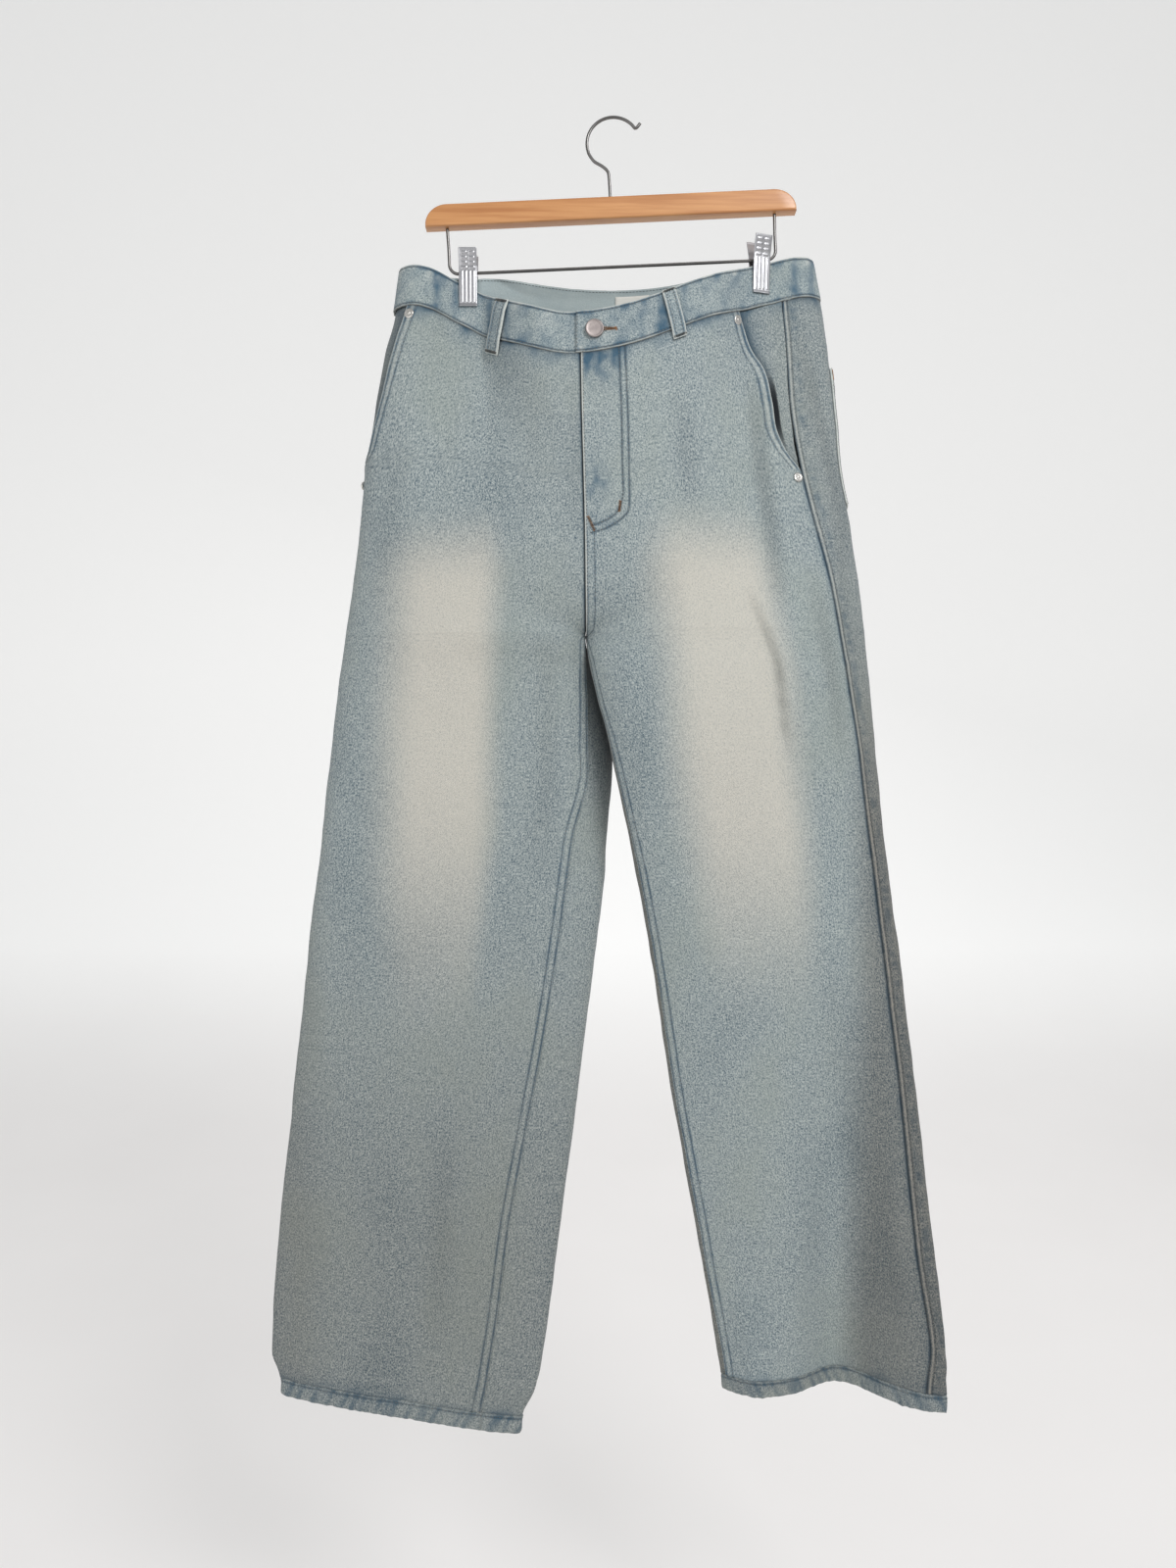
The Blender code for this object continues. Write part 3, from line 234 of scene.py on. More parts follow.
CREASES = {
    (Side.RIGHT, Wall.FRONT): (
        Crease(((123, -463), (145, -521), (150, -553), (156, -597), (164, -617)), 3.8, -4.8),
        Crease(((134, -470), (155, -526), (160, -560), (166, -600)), 8.0, 2.4),
        Crease(((128, -235), (134, -290), (141, -350), (148, -415), (154, -485)), 9.0, -4.0),
        Crease(((186, -440), (196, -500), (205, -560), (212, -625)), 9.0, -2.8),
        Crease(((60, -270), (66, -330), (72, -400)), 12.0, -1.8),
        Crease(((34, -262), (36, -330), (40, -380)), 9.0, 0.9),
        Crease(((200, -800), (214, -900), (222, -1010)), 14.0, -1.6),
        Crease(((255, -960), (268, -1080), (276, -1170)), 9.0, 2.0),
    ),
    (Side.RIGHT, Wall.BACK): (
        Crease(((176, -200), (190, -255), (202, -305), (214, -365), (222, -430)), 9.0, -2.8),
        Crease(((192, -205), (205, -260), (218, -320)), 9.0, 1.3),
        Crease(((10, -440), (70, -505), (120, -540)), 10.0, -2.2),
        Crease(((150, -560), (140, -680), (150, -820)), 14.0, 2.0),
        Crease(((210, -380), (216, -460), (222, -540)), 11.0, -1.8),
    ),
    (Side.LEFT, Wall.FRONT): (
        Crease(((-38, -260), (-37, -330), (-36, -420)), 8.0, -1.3),
        Crease(((-64, -495), (-62, -600), (-68, -730)), 11.0, -1.6),
        Crease(((-44, -470), (-40, -560), (-44, -650)), 9.0, 1.0),
        Crease(((-160, -957), (-166, -1070), (-172, -1183)), 14.0, -1.8),
        Crease(((-120, -900), (-128, -1010), (-132, -1110)), 14.0, 1.2),
        Crease(((-205, -300), (-212, -380), (-222, -470)), 12.0, -1.2),
    ),
    (Side.LEFT, Wall.BACK): (
        Crease(((-90, -560), (-110, -700), (-120, -860)), 14.0, 2.2),
        Crease(((-180, -420), (-170, -520), (-175, -640)), 13.0, -2.0),
        Crease(((-40, -440), (-90, -500), (-140, -530)), 10.0, -2.0),
    ),
}


def ease(value: Any) -> Any:
    """Ease from 0 to 1 as a value or an array goes from 0 to 1."""
    clipped = np.clip(value, 0.0, 1.0)
    return clipped * clipped * (3.0 - 2.0 * clipped)


def curve_through(rows: Sequence[Any], name: str, level: float) -> float:
    """Read one column of a table at a level.

    Args:
        rows: The table, from the top level down.
        name: The column's name. Those that begin with inner start out level.
        level: The level to read.

    Returns:
        The value on a smooth curve through the rows.
    """
    levels = -np.array([row.level for row in rows], dtype=float)
    values = np.array([getattr(row, name) for row in rows], dtype=float)
    steps = np.diff(values) / np.diff(levels)
    slopes = np.empty(len(rows))
    slopes[0] = 0.0 if name.startswith("inner") else steps[0]
    slopes[-1] = steps[-1]
    same_way = steps[:-1] * steps[1:] > 0.0
    slopes[1:-1] = np.where(same_way, (steps[:-1] + steps[1:]) / 2.0, 0.0)
    place = float(np.clip(-level, levels[0], levels[-1]))
    index = int(np.clip(np.searchsorted(levels, place) - 1, 0, len(rows) - 2))
    width = levels[index + 1] - levels[index]
    part = (place - levels[index]) / width
    square = part * part
    cube = square * part
    return float(
        (2 * cube - 3 * square + 1) * values[index]
        + (cube - 2 * square + part) * width * slopes[index]
        + (3 * square - 2 * cube) * values[index + 1]
        + (cube - square) * width * slopes[index + 1]
    )


def smooth_path(points: Sequence[Sequence[float]], step: float) -> Array:
    """Run a smooth curve through a few points.

    Args:
        points: The points that the curve passes.
        step: The distance between the points that come back.

    Returns:
        Points along the curve, one row each.
    """
    given = np.array(points, dtype=float)
    padded = np.concatenate([[2 * given[0] - given[1]], given, [2 * given[-1] - given[-2]]])
    found = []
    for index in range(1, len(padded) - 2):
        before, start, end, after = padded[index - 1:index + 3]
        count = max(2, int(np.linalg.norm(end - start) / step))
        for part in np.linspace(0.0, 1.0, count, endpoint=False):
            found.append(
                0.5 * (2 * start + (end - before) * part
                       + (2 * before - 5 * start + 4 * end - after) * part ** 2
                       + (3 * start - before - 3 * end + after) * part ** 3)
            )
    found.append(given[-1])
    return np.array(found)


def reach_of(x: Array, z: Array, path: Array) -> tuple[Array, Array]:
    """Measure how near places lie to a path.

    Args:
        x: The places across.
        z: Their heights.
        path: The path's points, one row of x and z each.

    Returns:
        Each place's distance from the path, and how far along it that is, from 0 to 1.
    """
    reach = np.full(x.shape, 1e9)
    part = np.zeros(x.shape)
    for index, (path_x, path_z) in enumerate(path):
        distance = np.hypot(x - path_x, z - path_z)
        closer = distance < reach
        reach = np.where(closer, distance, reach)
        part = np.where(closer, index / (len(path) - 1.0), part)
    return reach, part


def waves(x: Array, z: Array, length: float, seed: int, count: int = 14) -> Array:
    """Return soft unevenness between about -1 and 1 over a surface.

    Args:
        x: Positions one way, in millimetres.
        z: Positions the other way, in millimetres.
        length: The usual distance from crest to crest.
        seed: Picks the pattern.
        count: How many waves are laid over each other.

    Returns:
        The height at each place.
    """
    random = np.random.default_rng(seed)
    total = np.zeros(np.broadcast(x, z).shape)
    for _ in range(count):
        angle = random.uniform(0.0, math.tau)
        pace = math.tau / (length * random.uniform(0.6, 1.8))
        phase = random.uniform(0.0, math.tau)
        total = total + np.sin((x * math.cos(angle) + z * math.sin(angle)) * pace + phase)
    return total / math.sqrt(count / 2.0) * 0.6


def bell(distance: Any, width: float, power: float = 2) -> Any:
    """Return 1 where a distance is 0, and less on both sides, down to 0 past its width."""
    return np.exp(-((distance / width) ** power))


def decay(distance: Any, reach: float) -> Any:
    """Return 1 where a distance is 0, and less the greater it is."""
    return np.exp(-distance / reach)


def run_along(x: Array, y: Array) -> Array:
    """Return how far each point of a line lies from its first one, along it."""
    return np.concatenate([[0.0], np.cumsum(np.hypot(np.diff(x), np.diff(y)))])


@dataclass(frozen=True)
class Form:
    """The form of the hung garment, the same that its solids have."""

    waist: float = -137.0
    band_height: float = 40.5
    panel_top: float = -178.0
    crotch: float = -498.0
    crotch_curve: float = 80.0
    crotch_reach: float = 0.5
    crotch_softness: float = 1.2
    hip_blend: float = 150.0
    half_seam: float = 0.2
    legs_part: float = -560.0
    hem_height: float = 16.0
    hem_left: float = -1240.0
    hem_right: float = -1225.0
    hem_tilt_left: float = -0.075
    hem_tilt_right: float = 0.035
    hem_tilt_start: float = -800.0
    hem_tilt_full: float = -1200.0
    waist_slope: float = 0.045
    slope_end: float = -400.0
    front_dip: float = 64.0
    front_dip_centre: float = -35.0
    front_dip_left: float = 165.0
    front_dip_right: float = 238.0
    back_dip: float = 18.0
    back_dip_centre: float = 14.0
    back_dip_reach: float = 180.0
    dip_fade_top: float = -178.0
    dip_fade_end: float = -430.0
    clip_left: float = -139.5
    clip_right: float = 140.5
    clip_turn_right: float = math.radians(18.0)
    pinch_width: float = 42.0
    pinch_peak: float = 1.1
    pinch_flat: float = 48.0
    pinch_fade: float = 170.0
    pinch_spread: float = 0.25
    pinch_half_gap: float = 1.8
    pinch_opens: float = 1.8
    pinch_opens_level: float = -166.0
    pinch_opens_reach: float = 14.0
    pinch_column: float = 10.5
    clip_dip: float = 10.0
    clip_dip_width: float = 34.0
    roundness: float = 0.87
    pocket_end: float = -342.0
    seam_gap: float = 0.3

    def hem_level(self, side: Side) -> float:
        """Return the level of a leg's lowest edge."""
        return self.hem_left if side is Side.LEFT else self.hem_right

    def panel_bottom(self, side: Side) -> float:
        """Return the level where a panel ends above its hem."""
        return self.hem_level(side) + self.hem_height + self.seam_gap

    def clips(self) -> tuple[Pair, ...]:
        """Return the place across and the turn of each clip."""
        return ((self.clip_left, 0.0), (self.clip_right, self.clip_turn_right))

    def rounded(self, angle: Array) -> tuple[Array, Array]:
        """Return the cosine and sine of an angle on the rounded box of the sections."""
        cosine = np.cos(angle)
        sine = np.sin(angle)
        return (np.sign(cosine) * np.abs(cosine) ** self.roundness, np.abs(sine) ** self.roundness)

    def pinch(self, level: float, x: Array, y: Array, front: Array) -> Array:
        """Draw a wall's y to the nearer clip, which holds both layers together."""
        below = max(self.waist - level - self.pinch_flat, 0.0)
        strength = math.exp(-((below / self.pinch_fade) ** 2))
        opening = (self.pinch_opens_level - level) / self.pinch_opens_reach
        opened = self.pinch_opens * float(ease(opening))
        width = self.pinch_width + self.pinch_spread * below
        for clip_x, turn in self.clips():
            near = self.pinch_peak * bell(x - clip_x, width)
            half_gap = (self.pinch_half_gap + opened) / math.cos(turn)
            held = math.tan(turn) * (x - clip_x) + np.where(front, -half_gap, half_gap)
            y = y + strength * np.minimum(near, 1.0) * (held - y)
        return y

    def fold_depth(self, side: Side, level: float, across: Array, front: Array) -> Array:
        """Sum the large folds at a place on a wall."""
        depth = np.zeros_like(across)
        for fold in FOLDS:
            grown = float(ease((fold.top - level) / (fold.top - fold.full)))
            gone = float(ease((fold.full - level) / (fold.full - fold.end)))
            amount = grown * (1.0 - gone)
            if fold.side is not side or amount <= 0.0:
                continue
            lowest = max(fold.end, self.hem_left)
            down = float(np.clip((fold.top - level) / (fold.top - lowest), 0.0, 1.0))
            centre = fold.across_top + (fold.across_end - fold.across_top) * down
            wave = fold.depth * amount * bell(across - centre, fold.width)
            depth = depth + wave * np.where(front, "front" in fold.walls, "back" in fold.walls)
        return depth

    def hip_share(self, level: float, u: Array) -> Array:
        """Return how far a place has turned from the leg's section to the hip's."""
        away = ease(u / self.crotch_reach)
        reach = self.crotch_curve + (self.hip_blend - self.crotch_curve) * away
        risen = (level - self.crotch) / reach
        soft = np.maximum(self.crotch_softness * u, 1e-6)
        near = (risen + soft) ** 2 / (4.0 * soft)
        risen = np.where(np.abs(risen) < soft, near, np.maximum(risen, 0.0))
        turned_part = 1.0 - (1.0 - np.minimum(risen, 1.0)) ** 2
        return turned_part ** (0.5 + 0.5 * away)

    def section(self, side: Side, level: float, v: Any) -> tuple[Array, Array]:
        """Return x and y of one half's section at a level.

        Args:
            side: The half.
            level: The height before slopes and dips.
            v: 0 at the inner edge of the front, 1 at the outer fold, 2 at the inner edge
                of the back. Above the crotch the inner edges are the centre seams, and
                below it both are the leg's inner fold.

        Returns:
            The x and the y values.
        """
        v = np.asarray(v, dtype=float)
        if level <= self.crotch:
            v = np.where(v > 2.0, v - 2.0, v)
        front = v <= 1.0
        u = np.where(front, v, 2.0 - v)
        met = float(ease((level - self.legs_part) / (self.crotch - self.legs_part)))
        inner_x, inner_y, outer_x, outer_y, front_bow, back_bow = (
            curve_through(LEG_ROWS[side], name, min(level, self.crotch))
            for name in ("inner_x", "inner_y", "outer_x", "outer_y", "front_bow", "back_bow"))
        inner_x = inner_x + side.sign * self.half_seam * met
        front_x, back_x, hip_front, hip_back, hip_outer_x, hip_outer_y = (
            curve_through(HIP_ROWS, name, level)
            for name in ("front_x", "back_x", "front_bow", "back_bow", side.value + "_x",
                         side.value + "_y"))
        if level > self.crotch:
            outer_x, outer_y = hip_outer_x, hip_outer_y
        along, out = self.rounded(math.pi * (1.0 - u))
        x = inner_x + (outer_x - inner_x) / 2.0 * (1.0 + along)
        y = inner_y + (outer_y - inner_y) / 2.0 * (1.0 + along)
        y = y + np.where(front, -front_bow, back_bow) * out
        if level > self.crotch - self.crotch_softness * self.hip_blend:
            share = self.hip_share(level, u)
            seam_x = np.where(front, front_x, back_x) + side.sign * self.half_seam
            along, out = self.rounded(math.pi / 2.0 * (1.0 - u))
            hip_x = seam_x + (outer_x - seam_x) * along
            hip_y = outer_y * along * along + np.where(front, -hip_front, hip_back) * out
            x = x + share * (hip_x - x)
            y = y + share * (hip_y - y)
        y = self.pinch(level, x, y, front)
        across = np.clip((x - inner_x) / (outer_x - inner_x), 0.0, 1.0)
        return x, y + self.fold_depth(side, level, across, front)

    def height(self, side: Side, level: float, x: Array, front: Array) -> Array:
        """Return the z of a section's points: its level, sloped and dipped at the waist."""
        rise = (level - self.slope_end) / (self.waist - self.slope_end)
        z = level + self.waist_slope * float(ease(rise)) * x
        fade = float(ease((level - self.dip_fade_end) / (self.dip_fade_top - self.dip_fade_end)))
        reach = np.where(x < self.front_dip_centre, self.front_dip_left, self.front_dip_right)
        front_turn = np.clip((x - self.front_dip_centre) / reach, -1.0, 1.0)
        back_turn = np.clip((x - self.back_dip_centre) / self.back_dip_reach, -1.0, 1.0)
        front_dip = self.front_dip * np.cos(math.pi / 2.0 * front_turn) ** 2
        back_dip = self.back_dip * np.cos(math.pi / 2.0 * back_turn) ** 2
        for clip_x, _ in self.clips():
            near = bell(x - clip_x, self.clip_dip_width)
            back_dip = back_dip + self.clip_dip * near
        z = z - fade * np.where(front, front_dip, back_dip)
        down = (self.hem_tilt_start - level) / (self.hem_tilt_start - self.hem_tilt_full)
        tilt = self.hem_tilt_left if side is Side.LEFT else self.hem_tilt_right
        middle = (curve_through(LEG_ROWS[side], "inner_x", level)
                  + curve_through(LEG_ROWS[side], "outer_x", level)) / 2.0
        return z + float(ease(down)) * tilt * (x - middle)

    def points(self, side: Side, level: float, v: Array) -> Array:
        """Return the section's points in space, one row each."""
        v = np.asarray(v, dtype=float)
        x, y = self.section(side, level, v)
        turned = np.where(v > 2.0, v - 2.0, v) if level <= self.crotch else v
        z = self.height(side, level, x, turned <= 1.0)
        return np.stack([x, y, z], axis=-1)

    def outward(self, side: Side, level: float, v: Array) -> Array:
        """Return the section's outward directions, which lie level."""
        step = 0.004
        v = np.asarray(v, dtype=float)
        low, high = v - step, v + step
        if level <= self.crotch:
            low, high = np.mod(low, 2.0), np.mod(high, 2.0)
        else:
            low, high = np.clip(low, 0.0, 2.0), np.clip(high, 0.0, 2.0)
        x_low, y_low = self.section(side, level, low)
        x_high, y_high = self.section(side, level, high)
        run = np.stack([x_high - x_low, y_high - y_low], axis=-1)
        run = run / np.linalg.norm(run, axis=-1, keepdims=True)
        return np.stack([run[:, 1], -run[:, 0], np.zeros(len(v))], axis=-1) * side.sign

    def face(self, side: Side, level: float, v: Array) -> tuple[Array, Array]:
        """Return the section's points in space and its outward directions."""
        return self.points(side, level, v), self.outward(side, level, v)

    def place_of_x(self, side: Side, level: float, x: float, wall: Wall) -> float:
        """Find v where a wall has this x."""
        v = np.linspace(0.0 if wall is Wall.FRONT else 2.0, 1.0, 401)
        return float(np.interp(side.sign * x, side.sign * self.section(side, level, v)[0], v))

    def side_place(self, side: Side, level: float) -> float:
        """Return v of the side seam."""
        rows, inset_name, outer_name = LEG_ROWS[side], "side", "outer_x"
        if level > self.crotch:
            rows, inset_name, outer_name = HIP_ROWS, side.value + "_side", side.value + "_x"
        inset = curve_through(rows, inset_name, level)
        outer = curve_through(rows, outer_name, level)
        wall = Wall.FRONT if inset >= 0.0 else Wall.BACK
        return self.place_of_x(side, level, outer - side.sign * abs(inset), wall)

    def pocket_place(self, side: Side, level: float) -> float:
        """Return v of the front panel's outer edge: the pocket's edge, or the side seam."""
        seam = self.side_place(side, level)
        if level <= self.pocket_end:
            return seam
        rows = POCKET_EDGE[side]
        last = rows[-1]
        if level >= last.level:
            return self.place_of_x(side, level, curve_through(rows, "x", level), Wall.FRONT)
        start = self.place_of_x(side, level, last.x, Wall.FRONT)
        part = (last.level - level) / (last.level - self.pocket_end)
        return start + (seam - start) * part

    def inseam_place(self, side: Side, level: float) -> float:
        """Return v of the inseam, which lies on the front wall below the crotch."""
        if level >= self.crotch:
            return 0.0
        inset = curve_through(LEG_ROWS[side], "inseam", level)
        inner = curve_through(LEG_ROWS[side], "inner_x", level)
        return self.place_of_x(side, level, inner + side.sign * inset, Wall.FRONT)

    def edges(self, side: Side, wall: Wall, level: float) -> Pair:
        """Return v at a panel's two edges, before the seam's gap."""
        if wall is Wall.FRONT:
            return self.inseam_place(side, level), self.pocket_place(side, level)
        return self.side_place(side, level), 2.0 + self.inseam_place(side, level)


FORM = Form()


def spaced(start: float, end: float, step: float) -> list[float]:
    """List values from start towards end, at most a step apart, without the end."""
    count = max(1, int(math.ceil(abs(end - start) / step)))
    return [start + (end - start) * index / count for index in range(count)]


def grid_normals(points: Array, sign: float) -> Array:
    """Return the outward normals of a grid of points.

    Args:
        points: Rows that run down, columns that run along the section.
        sign: 1 or -1, which turns the cross product outwards.

    Returns:
        One unit vector for each point.
    """
    across = np.gradient(points, axis=1)
    down = np.gradient(points, axis=0)
    normal = np.cross(across, down) * sign
    length = np.linalg.norm(normal, axis=-1, keepdims=True)
    return normal / np.maximum(length, 1e-9)


@dataclass
class Cloth:
    """A piece of cloth as two grids, its outer and its inner face, and what paints them.

    The grids' rows run down and their columns run along the section. The paint is worn,
    dye, wash, fade and shade, each 0 to 1: dye and wash are partly painted shade, and shade
    is painted shade.
    """

    name: str
    outer: Array
    inner: Array
    sign: float
    closed: bool = False
    paint: dict[str, Array] = field(default_factory=dict)
    rim: float = 0.35

    def area(self) -> float:
        """Return the outer face's area in square metres."""
        points = self.outer * MM
        if self.closed:
            points = np.concatenate([points, points[:, :1]], axis=1)
        across = points[:-1, 1:] - points[:-1, :-1]
        down = points[1:, :-1] - points[:-1, :-1]
        return float(np.linalg.norm(np.cross(across, down), axis=-1).sum())

    def build(self) -> bpy.types.Mesh:
        """Make the closed shell, with its map of the cloth and its painted attributes.

        Returns:
            The mesh, in metres.
        """
        outer, inner, turned = self.outer, self.inner, self.sign > 0.0
        rows, columns = outer.shape[:2]
        middle = (outer + inner) / 2.0
        out_down = np.zeros_like(outer)
        out_down[0] = outer[0] - outer[1]
        out_down[-1] = outer[-1] - outer[-2]
        if not self.closed:
            out_down[:, 0] += outer[:, 0] - outer[:, 1]
            out_down[:, -1] += outer[:, -1] - outer[:, -2]
        length = np.maximum(np.linalg.norm(out_down, axis=-1, keepdims=True), 1e-9)
        middle = middle + out_down / length * self.rim
        layers = (outer, middle, inner)
        points = np.concatenate([layer.reshape(-1, 3) for layer in layers]) * MM
        count = rows * columns
        index = np.arange(count).reshape(rows, columns)
        if self.closed:
            index = np.concatenate([index, index[:, :1]], axis=1)
        a, b, c, d = index[:-1, :-1], index[:-1, 1:], index[1:, 1:], index[1:, :-1]
        quads = np.stack([a, b, c, d], axis=-1).reshape(-1, 4)
        flipped = quads[:, ::-1]
        faces = [quads, flipped + 2 * count] if turned else [flipped, quads + 2 * count]
        loops = [index[0, ::-1], index[-1]]
        if not self.closed:
            loops += [index[:, 0], index[::-1, -1]]
        for line in loops:
            for top, low in ((0, count), (count, 2 * count)):
                strip = np.stack([line[:-1] + top, line[1:] + top, line[1:] + low,
                                  line[:-1] + low], axis=-1)
                faces.append(strip if turned else strip[:, ::-1])
        used = np.unique(np.concatenate(faces))
        place = np.full(3 * count, -1)
        place[used] = np.arange(len(used))
        mesh = bpy.data.meshes.new(self.name)
        mesh.from_pydata(points[used].tolist(), [], place[np.concatenate(faces)].tolist())
        self._paint(mesh, used, count)
        self._map(mesh, used, count)
        mesh.shade_smooth()
        return mesh

    def _paint(self, mesh: bpy.types.Mesh, used: Array, count: int) -> None:
        """Write the painted attributes of the points in use."""
        blank = np.zeros(self.outer.shape[:2])
        for name in ("worn", "dye", "wash", "fade", "shade", "inside"):
            outside = np.clip(self.paint.get(name, blank) + blank, 0.0, 1.0).ravel()
            inside = {"fade": blank.ravel(), "shade": blank.ravel(),
                      "inside": np.ones(count)}.get(name, outside)
            values = np.concatenate([outside, outside, inside])
            attribute = mesh.attributes.new(name, "FLOAT", "POINT")
            attribute.data.foreach_set("value", values[used].astype(np.float32))

    def _map(self, mesh: bpy.types.Mesh, used: Array, count: int) -> None:
        """Lay a map on the mesh in metres of cloth: across the grain and down it."""
        along = np.linalg.norm(np.diff(self.outer, axis=1), axis=-1)
        along = np.concatenate([np.zeros((len(along), 1)), np.cumsum(along, axis=1)], axis=1)
        along = along - along.mean(axis=1, keepdims=True)
        down = np.broadcast_to(self.outer[:, :1, 2], along.shape)
        flat = np.stack([along, down], axis=-1).reshape(-1, 2) * MM
        flat = np.concatenate([flat, flat, flat])[used]
        layer = mesh.uv_layers.new(name="cloth")
        corners = np.empty(len(mesh.loops), dtype=np.int64)
        mesh.loops.foreach_get("vertex_index", corners)
        layer.uv.foreach_set("vector", flat[corners].ravel().astype(np.float32))


def srgb(red: float, green: float, blue: float) -> tuple[float, float, float, float]:
    """Turn a colour seen on a screen, 0 to 255, into the shader's linear values."""
    parts = []
    for value in (red, green, blue):
        share = value / 255.0
        parts.append(share / 12.92 if share <= 0.04045 else ((share + 0.055) / 1.055) ** 2.4)
    return (parts[0], parts[1], parts[2], 1.0)


def math_node(operation: str) -> Callable[["Value", Any], "Value"]:
    """Return the operator that adds a Math node and returns its result."""
    return lambda value, other: value.tree.node("ShaderNodeMath", {"operation": operation},
                                                {0: value, 1: other})


class Value:
    """A number in a shader tree: Python's operators on it add Math nodes."""

    __add__ = __radd__ = math_node("ADD")
    __mul__ = __rmul__ = math_node("MULTIPLY")
    __sub__ = math_node("SUBTRACT")

    def __init__(self, tree: "ShaderTree", socket: bpy.types.NodeSocket) -> None:
        """Wrap a socket of a tree."""
        self.tree = tree
        self.socket = socket

    def step(self, low: float, high: float) -> "Value":
        """Return 0 below low and 1 above high, with a soft step between them."""
        settings = {"interpolation_type": "SMOOTHSTEP"}
        return self.tree.node("ShaderNodeMapRange", settings, {0: self, 1: low, 2: high})


def socket_of(sockets: Any, key: Any) -> bpy.types.NodeSocket:
    """Find a socket by number, identifier or name."""
    if isinstance(key, int):
        return sockets[key]
    return next((socket for socket in sockets if socket.identifier == key), None) or sockets[key]


class Tree:
    """A tree of nodes, with one way to add any node."""

    def __init__(self, tree: bpy.types.NodeTree) -> None:
        """Keep Blender's own tree."""
        self.tree = tree

    def add(self, kind: str, settings: Optional[dict[str, Any]] = None,
            values: Optional[dict[Any, Any]] = None) -> bpy.types.Node:
        """Add a node.

        Args:
            kind: The node's type.
            settings: Its settings, which are set first.
            values: What goes into its sockets, by number, identifier or name.

        Returns:
            The node.
        """
        made = self.tree.nodes.new(kind)
        for name, value in (settings or {}).items():
            setattr(made, name, value)
        for key, value in (values or {}).items():
            self.feed(socket_of(made.inputs, key), value)
        return made

    def feed(self, socket: bpy.types.NodeSocket, value: Any) -> None:
        """Link a value, a socket or a node's first output to a socket, or set a plain value."""
        if isinstance(value, Value):
            value = value.socket
        elif isinstance(value, bpy.types.Node):
            value = value.outputs[0]
        if isinstance(value, bpy.types.NodeSocket):
            self.tree.links.new(value, socket)
        else:
            socket.default_value = value


class ShaderTree(Tree):
    """A material's tree."""

    def __init__(self, name: str) -> None:
        """Make a material with a Principled BSDF."""
        self.material = bpy.data.materials.new(name)
        self.material.use_nodes = True
        super().__init__(self.material.node_tree)
        self.shader = self.tree.nodes["Principled BSDF"]

    def node(self, kind: str, settings: Optional[dict[str, Any]] = None,
             values: Optional[dict[Any, Any]] = None, output: Any = 0) -> Value:
        """Add a node and return one of its outputs, by number, identifier or name."""
        return Value(self, socket_of(self.add(kind, settings, values).outputs, output))

    def mix(self, share: Any, first: Any, second: Any, blend: str = "MIX") -> Value:
        """Mix two colours, or blend the second one over the first. Triples are screen colours."""
        settings = {"data_type": "RGBA", "clamp_factor": True, "blend_type": blend}
        first, second = (srgb(*colour) if isinstance(colour, tuple) else colour
                         for colour in (first, second))
        return self.node("ShaderNodeMix", settings,
                         {"Factor_Float": share, "A_Color": first, "B_Color": second},
                         "Result_Color")

    def cloth_map(self) -> Value:
        """Return the cloth's own map."""
        return self.node("ShaderNodeUVMap", {"uv_map": "cloth"})

    def place(self) -> Value:
        """Return the place in the garment's frame."""
        return self.node("ShaderNodeTexCoord", output="Object")

    def painted(self, name: str) -> Value:
        """Return a painted attribute."""
        return self.node("ShaderNodeAttribute", {"attribute_name": name}, output="Fac")

    def noise(self, where: Value, scale: Triple, detail: float = 2.0, rough: float = 0.5) -> Value:
        """Return noise over stretched coordinates, with scale in lumps a metre."""
        stretched = self.node("ShaderNodeVectorMath", {"operation": "MULTIPLY"}, {0: where, 1: scale})
        return self.node("ShaderNodeTexNoise", None, {"Vector": stretched, "Scale": 1.0,
                                                      "Detail": detail, "Roughness": rough})

    def bump(self, height: Value, distance: float, strength: float) -> Value:
        """Return a bumped normal from a height between 0 and 1."""
        return self.node("ShaderNodeBump", None,
                         {"Height": height, "Distance": distance, "Strength": strength})

    def finish(self, **values: Any) -> Material:
        """Feed the shader's sockets, with underscores for spaces, and return the material."""
        for name, value in values.items():
            self.feed(self.shader.inputs[name.replace("_", " ")], value)
        return self.material


